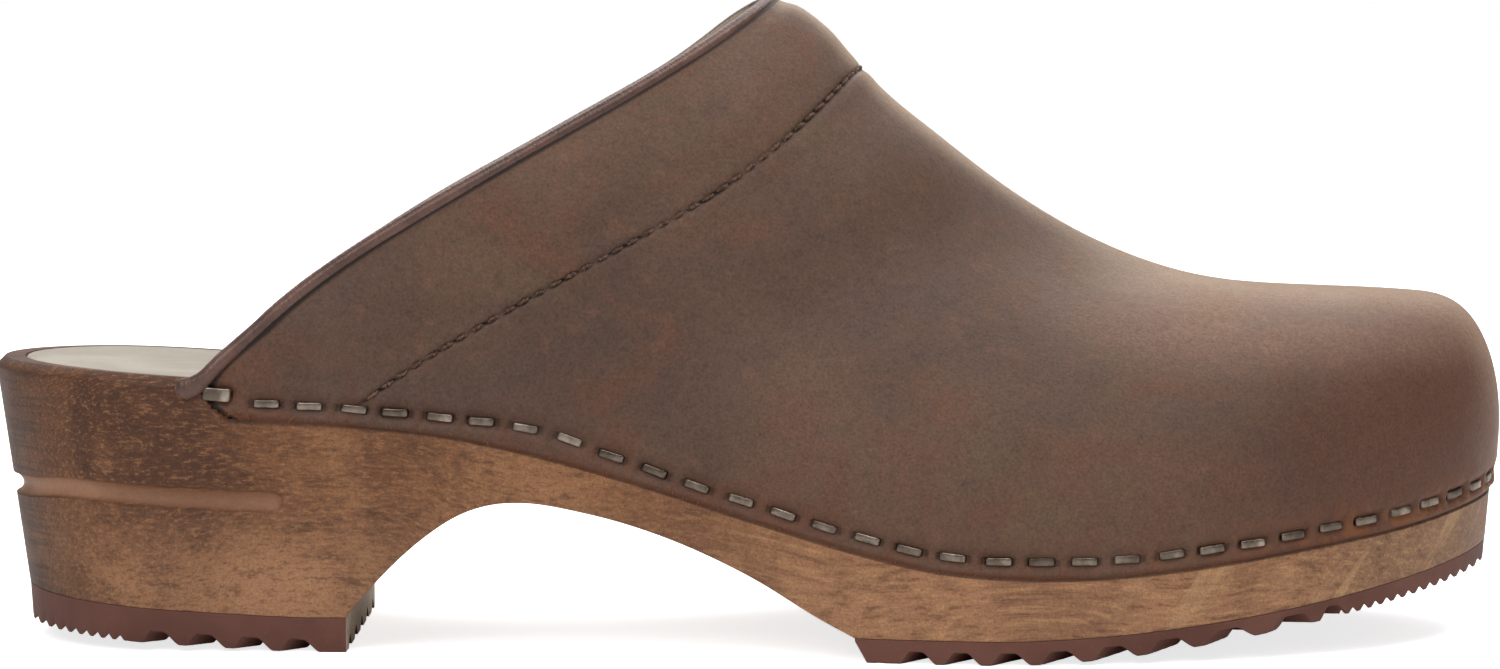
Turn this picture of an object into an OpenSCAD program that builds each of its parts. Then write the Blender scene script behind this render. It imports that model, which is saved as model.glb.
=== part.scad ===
// Open-back clog: a carved wooden sole block, two rubber treads, a padded insole
// and a leather upper stapled round the rim. Millimetres, toe towards +X,
// outer side of the foot towards -Y, floor at Z = 0.

/* [Sole block] */
// Length of the sole block from heel to toe tip
sole_length = 279; // [265:1:295]
// Width of the sole block across the ball of the foot
ball_width = 101; // [95:1:107]
// Width of the heel seat
heel_width = 68; // [63:1:72]
// Height of the heel seat above the floor
heel_height = 52; // [48:1:56]
// Depth of the decorative groove round the heel
groove_depth = 1.6; // [0.8:0.1:2.2]
// Sideways draw of the toe tip towards the big toe
toe_draw = 6; // [2:0.5:9]

/* [Upper] */
// Height of the instep above the floor
instep_height = 117.6; // [110:0.2:124]
// Height of the toe box above the floor
toe_box_height = 63.6; // [60:0.2:67]
// Thickness of the upper leather
leather = 2.2; // [1.8:0.1:2.4]
// Radius of the piping along the topline
piping_r = 1.6; // [1.2:0.1:1.9]
// Greatest thickness of the foam behind the collar
padding = 2.6; // [1.5:0.1:3.5]

/* [Staples and thread] */
// Outside width of a staple's crown
staple_crown = 5.7; // [5:0.1:6.5]
// Width of the staple wire
staple_wire = 1.4; // [1:0.1:1.6]
// Length of a staple's legs
staple_leg = 7; // [5:0.5:8]
// Number of staples on each side of the clog
staples_a_side = 34; // [28:1:36]
// Length of one stitch of the collar seam
stitch_pitch = 3.2; // [2.8:0.1:4]

/* [Tread] */
// Thickness of the heel tread
heel_tread = 6.3; // [6:0.1:7.5]
// Thickness of the forefoot tread
fore_tread = 4.3; // [4:0.1:5]
// Depth of the valleys between the lugs
lug_depth = 2.2; // [1.5:0.1:2.6]
// Distance from lug to lug
lug_pitch = 8.6; // [8:0.1:10]
// Pitch of the fine teeth at heel and toe
tooth_pitch = 2.2; // [1.9:0.1:2.6]

/* [Hidden] */

OUTER = -1; // side of the little toe
INNER = 1;  // side of the big toe
SIDES = [OUTER, INNER];
eps = 0.02;

// Driving positions along the sole, as fractions of its length
heel_x = -140.3;
toe_x = heel_x + sole_length;
function at(f) = heel_x + f * sole_length;
heel_round_x = at(0.130);      // the heel's round end starts here
breast_x = at(0.2417);         // front face of the heel
tread_back_x = at(0.570);      // rear edge of the forefoot tread
upper_back_x = at(0.1620);     // rear corner of the upper
rebate_x = at(0.1515);         // the rebate for the upper starts here
ball_x = [at(0.664), at(0.711)]; // widest points, outer and inner side
rise = heel_height / 52;

// Half widths as [fraction of the length, distance from the axis]
outer_half = [[0.130, heel_width * 0.505], [0.252, heel_width * 0.51], [0.378, heel_width * 0.53],
              [0.503, ball_width * 0.407], [0.593, ball_width * 0.471], [0.664, ball_width * 0.5]];
inner_half = [[0.130, heel_width * 0.495], [0.252, heel_width * 0.48], [0.378, heel_width * 0.474],
              [0.503, ball_width * 0.368], [0.611, ball_width * 0.452], [0.711, ball_width * 0.5]];
// Lower edge of the upper, as [fraction, height]
rim_table = [[0.160, 42.5], [0.252, 41.1], [0.306, 39.4], [0.360, 36.3], [0.431, 31], [0.503, 24.9],
             [0.575, 19.4], [0.621, 16.7], [0.675, 15.5], [0.725, 15.5], [0.79, 17], [0.862, 19.7],
             [0.933, 22.6], [1, 26.5]];
// Height of the wood above that edge, as [fraction, height]
rebate_table = [[0.160, 7.2], [0.29, 9], [0.43, 10], [1, 9]];
// Top of the heel seat, as [fraction, height]
seat_table = [[0, 51.9], [0.065, 51.2], [0.12, 50.3], [0.160, 49.6]];
// Underside between the heel and the ball, as [fraction, height]
arch_table = [[0.2417, 6.6], [0.266, 14.2], [0.291, 20.6], [0.317, 25.3], [0.338, 27.1], [0.356, 27.4],
              [0.395, 25.8], [0.446, 21.8], [0.503, 14.8], [0.549, 7.3], [0.570, 4.3]];
// Ridge line of the upper, as [fraction, height as a share of instep over toe box]
ridge_table = [[0.514, 1], [0.521, 0.995], [0.536, 0.963], [0.550, 0.909], [0.568, 0.817], [0.590, 0.696],
               [0.629, 0.531], [0.682, 0.328], [0.736, 0.167], [0.79, 0.063], [0.844, 0.0185],
               [0.897, 0.004], [0.926, 0]];

spring_x = at(0.664);   // in front of this the sole springs up towards the toe
toe_spring = 13.1;
thinning = 0.9;         // the forefoot tread thins by this much under the toe
heel_lift_x = at(0.216); // behind this the heel lifts
heel_lift = 3.7;
groove_z = [30.3, 26.3];    // top and bottom of the heel groove
groove_end_x = at(0.197);
bevel = 1.8;                // top edge of the heel seat
step_depth = 2.4;           // the upper sits in a rebate this deep
step_h = 0.25;
round_steps = 12;
seam_a = 0.08;             // place of the collar seam along the rim, 0 rear to 1 toe tip
toe_split = [0.545, 0.61];  // share of the rim behind the toe's round, outer and inner

// ---------------------------------------------------------------- maths
function lerp(a, b, t) = a + (b - a) * t;
function clamp(x, lo, hi) = min(max(x, lo), hi);
function smooth(t) = let (c = clamp(t, 0, 1)) c * c * (3 - 2 * c);
function unit(v) = v / max(norm(v), 1e-9);
function side_index(side) = side == OUTER ? 0 : 1;

function secant(p, i) = (p[i + 1][1] - p[i][1]) / (p[i + 1][0] - p[i][0]);
function slope(p, i, flat) =
    i == 0 ? (flat ? 0 : secant(p, 0))
    : i == len(p) - 1 ? (flat ? 0 : secant(p, i - 1))
    : let (h0 = p[i][0] - p[i - 1][0], h1 = p[i + 1][0] - p[i][0])
      (secant(p, i - 1) * h1 + secant(p, i) * h0) / (h0 + h1);
// Smooth curve through a table of [x, y] points; flat makes both ends level
function curve(p, x, flat = false) =
    let (u = clamp(x, p[0][0], p[len(p) - 1][0]),
         i = max([for (k = [0 : len(p) - 2]) if (k == 0 || p[k][0] <= u) k]),
         h = p[i + 1][0] - p[i][0],
         t = (u - p[i][0]) / h)
    (2 * t * t * t - 3 * t * t + 1) * p[i][1] + (t * t * t - 2 * t * t + t) * h * slope(p, i, flat)
    + (3 * t * t - 2 * t * t * t) * p[i + 1][1] + (t * t * t - t * t) * h * slope(p, i + 1, flat);
function fraction(x) = (x - heel_x) / sole_length;

// ---------------------------------------------------------------- heights
function rim_z(x) = curve(rim_table, fraction(x)) * rise;
function sole_top(x) = x < rebate_x ? curve(seat_table, fraction(x)) * rise
    : rim_z(x) + curve(rebate_table, fraction(x));
function spring_z(x) = x <= spring_x ? 0 : toe_spring * pow((x - spring_x) / (toe_x - spring_x), 1.75);
function lift_z(x) = x >= heel_lift_x ? 0 : heel_lift * pow((heel_lift_x - x) / (heel_lift_x - heel_x), 1.2);
// Height of the ground side of the treads and of the wood above them
function floor_z(x) = spring_z(x) + lift_z(x) + thinning * smooth((x - spring_x) / 60);
function sole_bottom(x) = x <= breast_x ? lift_z(x) + heel_tread
    : x >= tread_back_x ? spring_z(x) + fore_tread
    : max(curve(arch_table, fraction(x)), fore_tread);
function ridge_z(x) = toe_box_height + (instep_height - toe_box_height) * curve(ridge_table, fraction(x), true);

// ---------------------------------------------------------------- plan outline of the sole block
function half_table(side) = side == OUTER ? outer_half : inner_half;
function half(x, side) = curve(half_table(side), fraction(x), true);
function toe_half(side) = let (t = half_table(side)) t[len(t) - 1][1] - side * toe_draw;
// Round end of the toe: 0 at the ball, 90 at the tip
function toe_point(angle, side) =
    let (bx = ball_x[side_index(side)])
    [bx + (toe_x - bx) * sin(angle), side * toe_half(side) * cos(angle) + toe_draw];
function heel_point(angle, side) =
    [heel_round_x - (heel_round_x - heel_x) * cos(angle), side * half_table(side)[0][1] * sin(angle)];
mid_stations = [for (f = [0.144, 0.1505, 0.152, 0.17, 0.186, 0.198, 0.203, 0.222, 0.2417, 0.2425, 0.254, 0.266,
                          0.279, 0.291, 0.304, 0.317, 0.328, 0.338, 0.347, 0.356, 0.375, 0.395, 0.42, 0.446,
                          0.475, 0.503, 0.526, 0.549, 0.570, 0.5705, 0.60, 0.63]) at(f)];
function outline(side) = concat(
    [for (k = [0 : round_steps]) heel_point(90 * k / round_steps, side)],
    [for (x = mid_stations) [x, side * half(x, side)]],
    [for (k = [0 : round_steps + 4]) toe_point(90 * k / (round_steps + 4), side)]);
outer_line = outline(OUTER);
inner_line = outline(INNER);
function line_of(side) = side == OUTER ? outer_line : inner_line;
stations = len(outer_line);
// Unit vector pointing into the sole at station i
function inward(side, i) =
    let (p = line_of(side), a = p[max(i - 1, 0)], b = p[min(i + 1, stations - 1)], t = unit(b - a))
    i == 0 ? [1, 0] : i == stations - 1 ? [-1, 0] : -side * [-t[1], t[0]];

// ---------------------------------------------------------------- lofts
function mean(v) = [for (k = [1 : len(v)]) 1] * v / len(v);
// Solid through sections of equal point count; each end cap fans from its middle
module loft(sections) {
    n = len(sections);
    m = len(sections[0]);
    last = (n - 1) * m;
    polyhedron(
        points = concat([for (s = sections) each s], [mean(sections[0]), mean(sections[n - 1])]),
        faces = concat(
            [for (i = [0 : n - 2]) for (j = [0 : m - 1])
                let (k = (j + 1) % m) each [[i * m + j, (i + 1) * m + k, i * m + k],
                                            [i * m + j, (i + 1) * m + j, (i + 1) * m + k]]],
            [for (j = [0 : m - 1]) [n * m, j, (j + 1) % m]],
            [for (j = [0 : m - 1]) [n * m + 1, last + (j + 1) % m, last + j]]),
        convexity = 8);
}

// ---------------------------------------------------------------- wooden sole
function ref_z(x) = lerp(rim_z(x), curve(seat_table, fraction(x)) * rise - bevel,
                         smooth((at(0.21) - x) / (0.09 * sole_length)));
function has_rebate(x) = x >= rebate_x ? 1 : 0;
// Wall of the sole block from top to bottom, as [inset, height]
function wall(x) =
    let (top = sole_top(x), r = has_rebate(x) * step_depth, z_step = min(rim_z(x), top - 4),
         low = sole_bottom(x), g = smooth((groove_end_x - x) / 4) * groove_depth,
         heel = smooth((at(0.235) - x) / 5),
         gt = lerp(lerp(low, z_step, 0.75), groove_z[0], heel),
         gb = lerp(lerp(low, z_step, 0.45), groove_z[1], heel), gm = (gt + gb) / 2)
    [[r + bevel * (1 - has_rebate(x) * 0.7), top],
     [r, top - bevel * (1 - has_rebate(x) * 0.7)],
     [r, z_step + step_h],
     [0, z_step - step_h],
     [0, gt],
     [g * 0.85, lerp(gt, gm, 0.45)],
     [g, gm],
     [g * 0.85, lerp(gb, gm, 0.45)],
     [0, gb],
     [0, low]];
function wall_at(side, i, inset, z) =
    let (p = line_of(side)[i], n = inward(side, i), lean = 0.055 + (p[0] < 0 ? 0.09 : 0.03) * n[0] * n[0],
         d = inset + lean * max(ref_z(p[0]) - z, 0),
         w = i == 0 || i == stations - 1 ? side * 0.08 : 0)
    [p[0] + n[0] * d, p[1] + n[1] * d + w, z];
function wall_points(side, i) = [for (l = wall(line_of(side)[i][0])) wall_at(side, i, l[0], l[1])];
function reverse(v) = [for (i = [len(v) - 1 : -1 : 0]) v[i]];
dish_depth = 1.5;
across = 6;
// Points strung between a and b in n steps, sunk by depth in the middle
function string(a, b, depth, n = across) =
    [for (k = [1 : n - 1]) let (t = k / n) lerp(a, b, t) - [0, 0, depth * 4 * t * (1 - t)]];
function dish(x) = dish_depth * smooth((x - at(0.3)) / 60) * smooth((toe_x - x) / 40);
insole_recess = 2.2;
insole_inset = 3.3;
heel_margin = 2.2;  // more wood shows round the back of the insole
foam = 1.2;
cover = 1;
// Inset of the insole: wider where the upper takes up part of the seat
function insole_in(x) = insole_inset + (step_depth + 1) * smooth((x - at(0.135)) / 22);
function insole_edge(side, i, inset, drop) =
    let (x = line_of(side)[i][0], n = inward(side, i)[0], back = x < 0 ? heel_margin * n * n : 0)
    wall_at(side, i, insole_in(x) + back + inset, sole_top(x) - drop + 60) - [0, 0, 60];
// Rim, recess wall and dished recess floor, from the inner to the outer side
function sole_top_points(i) =
    let (clear = -0.12, a = insole_edge(INNER, i, clear, 0), b = insole_edge(OUTER, i, clear, 0),
         h = [0, 0, insole_recess], narrow = norm(a - b) < 6 || i < 2 || i > stations - 3)
    narrow ? string(wall_points(INNER, i)[0], wall_points(OUTER, i)[0], 0, across + 4)
    : concat([a, a - h], string(a - h, b - h, dish(outer_line[i][0])), [b - h, b]);
function sole_section(i) =
    let (o = wall_points(OUTER, i), n = wall_points(INNER, i))
    concat(o, string(o[len(o) - 1], n[len(n) - 1], 0, 3), reverse(n), sole_top_points(i));

module wooden_sole() {
    color("sienna") difference() {
        loft([for (i = [0 : stations - 1]) sole_section(i)]);
        staple_slots();
    }
}

// ---------------------------------------------------------------- upper surface
rise_x_table = [[0, 0.183, 0.6], [seam_a, 0.333, 0.73], [0.3, 0.27, 0.63], [0.6, 0.12, 0.36], [1, 0.01, 0.085]];
ridge_x_table = [[0, 0.521], [seam_a, 0.578], [0.25, 0.664], [0.5, 0.768], [0.7, 0.84], [0.85, 0.886], [1, 0.922]];
wall_power_table = [[0, 2.6], [0.3, 2.4], [0.6, 2.5], [1, 4]];
roof_power_table = [[0, 1.9], [0.3, 2.1], [0.6, 2.4], [1, 4]];
bulge_table = [[0, 0], [0.15, 0.6], [0.5, 1], [1, 1.9]];
// The rear edge of the upper slants back above its lower corner, as [share of the height, reach]
tail_table = [[0, -1.8], [0.02, 0.2], [0.05, 2.8], [0.08, 3.2], [0.12, 2.7], [0.17, 1.1], [0.22, 0]];
far_reach = 2;     // the topline reaches further back on the inner side of the instep
function pick(table, column) = [for (r = table) [r[0], r[column]]];
// Rim of the upper: a runs from 0 at the rear corner to 1 at the toe tip
function rim_point(a, side) =
    let (split = toe_split[side_index(side)], bx = ball_x[side_index(side)])
    a < split ? let (x = lerp(upper_back_x + 0.5, bx, a / split)) [x, side * half(x, side)]
              : toe_point(90 * (a - split) / (1 - split), side);
function rim_normal(a, side) =
    a >= 1 ? [1, 0]
    : let (t = unit(rim_point(min(a + 0.004, 1), side) - rim_point(max(a - 0.004, 0), side))) side * [-t[1], t[0]];
// Outer face of the leather; angle runs from 0 at the rim to 90 on the ridge
function skin(a, angle, side) =
    let (r = rim_point(a, side), n = rim_normal(a, side), z0 = rim_z(r[0]),
         cx = at(curve(ridge_x_table, a)), cy = 3 + 2 * smooth((cx - 0) / 120), cz = ridge_z(cx),
         up = pow(sin(angle), 2 / curve(wall_power_table, a)),
         in = 1 - pow(max(cos(angle), 0), 2 / curve(roof_power_table, a)),
         k1 = curve(pick(rise_x_table, 1), a), k2 = curve(pick(rise_x_table, 2), a),
         early = 13.5 * k1 * up * (up - 2 / 3) * (up - 1) - 13.5 * k2 * up * (up - 1 / 3) * (up - 1)
                 + 4.5 * up * (up - 1 / 3) * (up - 2 / 3),
         along = lerp(early, in, smooth((a - 0.12) / 0.6)),
         b = curve(bulge_table, a) * sin(180 * pow(up, 0.8)),
         far = side == INNER ? far_reach * smooth(1 - a / 0.07) * pow(sin(180 * clamp((angle - 30) / 60, 0, 1)), 2) : 0,
         tail = smooth(1 - a / 0.03) * curve(tail_table, up, true) + far)
    [lerp(r[0], cx, along) + n[0] * b - tail, lerp(r[1], cy, in) + n[1] * b, lerp(z0, cz, up)];
// Unit normal of the skin, level across the ridge and along the toe tip
function skin_normal(a, angle, side) =
    let (a0 = max(a - 0.01, 0), a1 = min(a + 0.01, 1), t0 = max(angle - 1, 0), t1 = min(angle + 1, 90),
         da = skin(a1, angle, side) - skin(a0, angle, side),
         dt = skin(a, t1, side) - skin(a, t0, side),
         raw = side * cross(dt, da),
         n = angle < 0.5 ? [rim_normal(a, side)[0], rim_normal(a, side)[1], 0] : raw)
    angle > 89.5 && a > 0.999 ? [0, 0, 1]
    : angle > 89.5 ? unit([n[0], 0, n[2]])
    : a > 0.999 ? unit([n[0], 0, n[2]]) : unit(n);
function inside_skin(a, angle, side, depth) = skin(a, angle, side) - depth * skin_normal(a, angle, side);

// Closed shell of the upper from a_min round the toe to a_min on the other side,
// between two depths below the skin, starting at the height given by angle_min
module upper_shell(a_min, depth_out, depth_in, columns, rows, from_angle) {
    last = 2 * columns;
    function a_of(u) = lerp(a_min, 1, 1 - abs(u - columns) / columns);
    function side_of(u) = u <= columns ? OUTER : INNER;
    function angle_of(a, j) = lerp(from_angle ? wood_angle(a) : 0, 90, pow(j / rows, 1.45));
    function id(u, j, layer) =
        layer * (last + 1) * (rows + 1) + (j == rows && u > columns ? (last - u) : u) * (rows + 1) + j;
    polyhedron(
        points = [for (depth = [depth_out, depth_in]) for (u = [0 : last]) for (j = [0 : rows])
            let (a = a_of(u)) inside_skin(a, angle_of(a, j), side_of(u), depth)],
        faces = [for (f = concat(
            [for (u = [0 : last - 1]) for (j = [0 : rows - 1])
                each [[id(u, j, 0), id(u + 1, j, 0), id(u + 1, j + 1, 0)], [id(u, j, 0), id(u + 1, j + 1, 0), id(u, j + 1, 0)]]],
            [for (u = [0 : last - 1]) for (j = [0 : rows - 1])
                each [[id(u, j, 1), id(u + 1, j + 1, 1), id(u + 1, j, 1)], [id(u, j, 1), id(u, j + 1, 1), id(u + 1, j + 1, 1)]]],
            [for (u = [0 : last - 1])
                each [[id(u, 0, 0), id(u, 0, 1), id(u + 1, 0, 1)], [id(u, 0, 0), id(u + 1, 0, 1), id(u + 1, 0, 0)]]],
            [for (j = [0 : rows - 1])
                each [[id(0, j, 0), id(0, j + 1, 0), id(0, j + 1, 1)], [id(0, j, 0), id(0, j + 1, 1), id(0, j, 1)],
                      [id(last, j, 0), id(last, j + 1, 1), id(last, j + 1, 0)], [id(last, j, 0), id(last, j, 1), id(last, j + 1, 1)]]]))
            if (f[0] != f[1] && f[1] != f[2] && f[2] != f[0]) [f[0], f[2], f[1]]],
        convexity = 10);
}
// Angle at which the skin is just above the wood
function wood_angle(a) =
    let (r = rim_point(a, OUTER), cz = ridge_z(at(curve(ridge_x_table, a))), z0 = rim_z(r[0]),
         up = (curve(rebate_table, fraction(r[0])) + 1.5) / (cz - z0))
    asin(pow(up, curve(wall_power_table, a) / 2));

module vamp() {
    color("saddlebrown") difference() {
        upper_shell(0, 0, leather, 34, 13, false);
        staple_slots();
    }
}
module toe_puff() {
    color("wheat") upper_shell(0.66, leather + eps, leather + 0.9, 14, 8, true);
}

// Band behind the collar, from the topline to the seam, over the instep and down the other side
band_rows = 15;
module collar_band(a0, a1, out_depth, in_depth) {
    loft([for (r = [0 : 2 * band_rows])
        let (side = r <= band_rows ? OUTER : INNER, t = 1 - abs(r - band_rows) / band_rows)
        concat([for (c = [0 : len(out_depth) - 1])
                    let (a = lerp(a0, a1, c / (len(out_depth) - 1)))
                    inside_skin(a, lerp(wood_angle(a), 90, t), side, out_depth[c])],
               [for (c = [len(in_depth) - 1 : -1 : 0])
                    let (a = lerp(a0, a1, c / (len(in_depth) - 1)))
                    inside_skin(a, lerp(wood_angle(a), 90, t), side, in_depth[c])])]);
}
pad_profile = [0.15, 0.8, 1, 0.9, 0.5, 0.12];
lining = 1;
module collar_padding() {
    color("ivory") collar_band(0.006, seam_a - 0.006, [for (p = pad_profile) leather + eps],
                               [for (p = pad_profile) leather + eps + padding * p]);
}
module collar_lining() {
    color("tan") collar_band(0.006, seam_a - 0.006, [for (p = pad_profile) leather + 2 * eps + padding * p],
                             [for (p = pad_profile) leather + 2 * eps + padding * p + lining]);
}

// ---------------------------------------------------------------- piping
pipe_rows = 17;
pipe_sides = 8;
// Centre of the piping: it caps the leather's edge along the topline and runs
// down outside the wood to its tail under the first staple
function pipe_centre(t, side) =
    let (angle = lerp(3, 90, pow(t, 1.1)), p = inside_skin(0, angle, side, leather * 0.4),
         q = inside_skin(0.02, angle, side, leather * 0.4), out = 1.9 * (1 - smooth((p[2] - 50) / 7)))
    p + unit(p - q) * (piping_r - 0.2) + [0, side * out, 0];
function pipe_tail(side) = let (r = rim_point(0, side)) [r[0] - 7, r[1] + side * 1.3, rim_z(r[0]) + 5];
function pipe_side(side) = concat([pipe_tail(side)], [for (r = [0 : pipe_rows - 1]) pipe_centre(r / (pipe_rows - 1), side)]);
pipe_outer = pipe_side(OUTER);
pipe_inner = pipe_side(INNER);
pipe_path = concat(pipe_outer, [for (r = [pipe_rows - 1 : -1 : 0]) pipe_inner[r]]);
function pipe_ring(r, radius) =
    let (a = pipe_path[max(r - 1, 0)], b = pipe_path[min(r + 1, 2 * pipe_rows)], t = unit(b - a),
         u = unit(cross(t, [1, 0, 0.3])), v = cross(t, u))
    [for (k = [0 : pipe_sides - 1]) pipe_path[r] + radius * (u * cos(360 * k / pipe_sides) + v * sin(360 * k / pipe_sides))];
cord_r = piping_r - 0.7;
module piping() {
    n = 2 * pipe_rows + 1;
    m = pipe_sides;
    function id(layer, r, k) = layer * n * m + r * m + (k % m);
    function wall_faces(layer) =
        [for (r = [0 : n - 2]) for (k = [0 : m - 1])
            each [[id(layer, r, k), id(layer, r + 1, k + 1), id(layer, r, k + 1)],
                  [id(layer, r, k), id(layer, r + 1, k), id(layer, r + 1, k + 1)]]];
    function end_faces(r) =
        [for (k = [0 : m - 1])
            each [[id(0, r, k), id(0, r, k + 1), id(1, r, k + 1)], [id(0, r, k), id(1, r, k + 1), id(1, r, k)]]];
    color("brown") polyhedron(
        points = [for (radius = [piping_r, cord_r]) for (r = [0 : n - 1]) each pipe_ring(r, radius)],
        faces = concat(wall_faces(0), [for (f = wall_faces(1)) reverse(f)],
                       end_faces(0), [for (f = end_faces(n - 1)) reverse(f)]),
        convexity = 10);
}
module piping_cord() {
    color("white") loft([for (r = [0 : 2 * pipe_rows]) pipe_ring(r, cord_r - eps)]);
}

// ---------------------------------------------------------------- threads
thread_r = 0.4;
// The seam runs a little closer to the topline high on the instep
function seam_point(angle, side) =
    inside_skin(seam_a - 0.006 * sin(180 * clamp((angle - 35) / 55, 0, 1)), angle, side, -0.05);
seam_steps = 60;
seam_from = 2;
function seam_angle(k) = lerp(seam_from, 89.5, k / seam_steps);
function seam_run(side, k) =
    k == 0 ? 0 : seam_run(side, k - 1) + norm(seam_point(seam_angle(k), side) - seam_point(seam_angle(k - 1), side));
seam_lengths = [for (side = SIDES) [for (k = [0 : seam_steps]) seam_run(side, k)]];
// Angle on the seam after a running length
function seam_angle_at(s, side) =
    let (t = seam_lengths[side_index(side)],
         i = max([for (k = [0 : seam_steps - 1]) if (t[k] <= s) k]))
    seam_angle(i + (s - t[i]) / (t[i + 1] - t[i]));
module seam_thread() {
    length = stitch_pitch * 0.7;
    color("black") for (side = SIDES) {
        count = floor(seam_lengths[side_index(side)][seam_steps] / stitch_pitch);
        for (k = [0 : count - 1]) {
            s = (k + 0.5) * stitch_pitch;
            p = seam_point(seam_angle_at(s - 0.5, side), side);
            d = unit(seam_point(seam_angle_at(s + 0.5, side), side) - p);
            translate(p - d * (length / 2 - 0.5)) rotate([0, acos(d[2]), atan2(d[1], d[0])])
                cylinder(r = thread_r, h = length, $fn = 16);
        }
    }
}

// ---------------------------------------------------------------- staples
// Height of the staple row above the lower edge of the upper; it rides up at the waist
function staple_height(x) = 3.1 + 1.7 * exp(-pow((x - at(0.367)) / 14, 2)) + 0.9 * exp(-pow((x - upper_back_x) / 4, 2));
rim_steps = 80;
// Running length of the rim from its rear corner, step by step
function run_length(side, k) =
    k == 0 ? 0 : run_length(side, k - 1) + norm(rim_point(k / rim_steps, side) - rim_point((k - 1) / rim_steps, side));
run_lengths = [for (side = SIDES) [for (k = [0 : rim_steps]) run_length(side, k)]];
// Place on the rim after a share of its whole length
function a_after(share, side) =
    let (t = run_lengths[side_index(side)], s = share * t[rim_steps],
         i = max([for (k = [0 : rim_steps - 1]) if (t[k] <= s) k]))
    (i + (s - t[i]) / (t[i + 1] - t[i])) / rim_steps;
function staple_a(k, side) = a_after(k / (staples_a_side - 0.5), side);
first_staple_back = 1.7;  // the rearmost staple sits over the tail of the piping
// Places its children with +X along the rim, +Y out of the leather, at staple k
module at_staple(k, side) {
    a = staple_a(k, side);
    p = rim_point(a, side) - [k == 0 ? first_staple_back : 0, 0];
    n = rim_normal(a, side);
    dx = 1;
    tilt = atan2(rim_z(p[0] + dx) + staple_height(p[0] + dx) - rim_z(p[0] - dx) - staple_height(p[0] - dx), 2 * dx)
           * n[1] * side;
    translate([p[0], p[1], rim_z(p[0]) + staple_height(p[0])])
        rotate([0, 0, atan2(n[1], n[0]) - 90])
            rotate([0, -side * tilt, 0])
                children();
}
module staple() {
    leg_x = (staple_crown - staple_wire) / 2;
    translate([-staple_crown / 2, -0.35, -staple_wire / 2]) cube([staple_crown, 0.9, staple_wire]);
    for (x = [-leg_x, leg_x])
        translate([x - staple_wire / 2 + 0.15, -staple_leg, -0.45]) cube([staple_wire - 0.3, staple_leg + 0.2, 0.9]);
}
module rim_staples() {
    color("silver") for (side = SIDES) for (k = [0 : staples_a_side - 1]) at_staple(k, side) staple();
}
// Slots that the legs cut in leather and wood, running out to a chisel point,
// and the shallow seat of the crown
module staple_slots() {
    leg_x = (staple_crown - staple_wire) / 2;
    w = staple_wire - 0.3 + 2 * eps;
    for (side = SIDES) for (k = [0 : staples_a_side - 1]) at_staple(k, side) {
        for (x = [-leg_x, leg_x]) hull() {
            translate([x - w / 2, -staple_leg - eps, -0.45 - eps]) cube([w, staple_leg + 2, 0.9 + 2 * eps]);
            translate([x - w / 2, -staple_leg - 1, -0.05]) cube([w, 0.1, 0.1]);
        }
        translate([-staple_crown / 2 - eps, -0.35 - eps, -staple_wire / 2 - eps])
            cube([staple_crown + 2 * eps, 3, staple_wire + 2 * eps]);
    }
}

// ---------------------------------------------------------------- insole
// Layer of the insole between two heights above the recess floor
function insole_section(i, z0, z1, inset) =
    let (a = insole_edge(OUTER, i, inset, insole_recess), b = insole_edge(INNER, i, inset, insole_recess),
         row = concat([a], string(a, b, dish(outer_line[i][0])), [b]))
    concat([for (p = reverse(row)) p + [0, 0, z1]], [for (p = row) p + [0, 0, z0]]);
module insole_layer(z0, z1, inset) {
    loft([for (i = [2 : stations - 3]) insole_section(i, z0, z1, inset)]);
}
module insole_foam() {
    color("khaki") insole_layer(0.08, foam, 0.3);
}
module insole_cover() {
    color("darkkhaki") insole_layer(foam + eps, foam + cover, 0.05);
}

// ---------------------------------------------------------------- treads
zigzag = 13;        // width of one leg of the zigzag valleys
valley_angle = 35;  // slant of a leg
function tread_outline(i0, i1, z) =
    concat([for (i = [i0 : i1]) let (p = wall_at(OUTER, i, 0.05, z)) [p[0], p[1]]],
           [for (i = [i1 : -1 : i0]) let (p = wall_at(INNER, i, 0.05, z)) [p[0], p[1]]]);
// Row of fine teeth between two places, ground side only
function teeth(x0, x1) =
    let (n = round((x1 - x0) / tooth_pitch), d = (x1 - x0) / n)
    [for (k = [0 : n - 1]) let (x = x0 + k * d) each
        [[x, floor_z(x) + tooth_pitch * 0.45], [x + 0.35 * d, floor_z(x + 0.35 * d)], [x + 0.65 * d, floor_z(x + 0.65 * d)]]];
// Upper side of a tread from the front to the back, along the wood
function tread_top(i0, i1) = [for (i = [i1 : -1 : i0]) let (x = outer_line[i][0]) [x, sole_bottom(x)]];
function ground(x0, x1, n) = [for (k = [0 : n]) let (x = lerp(x0, x1, k / n)) [x, floor_z(x)]];
module slab(profile) {
    translate([0, ball_width, 0]) rotate([90, 0, 0]) linear_extrude(2 * ball_width) polygon(profile);
}
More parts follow.
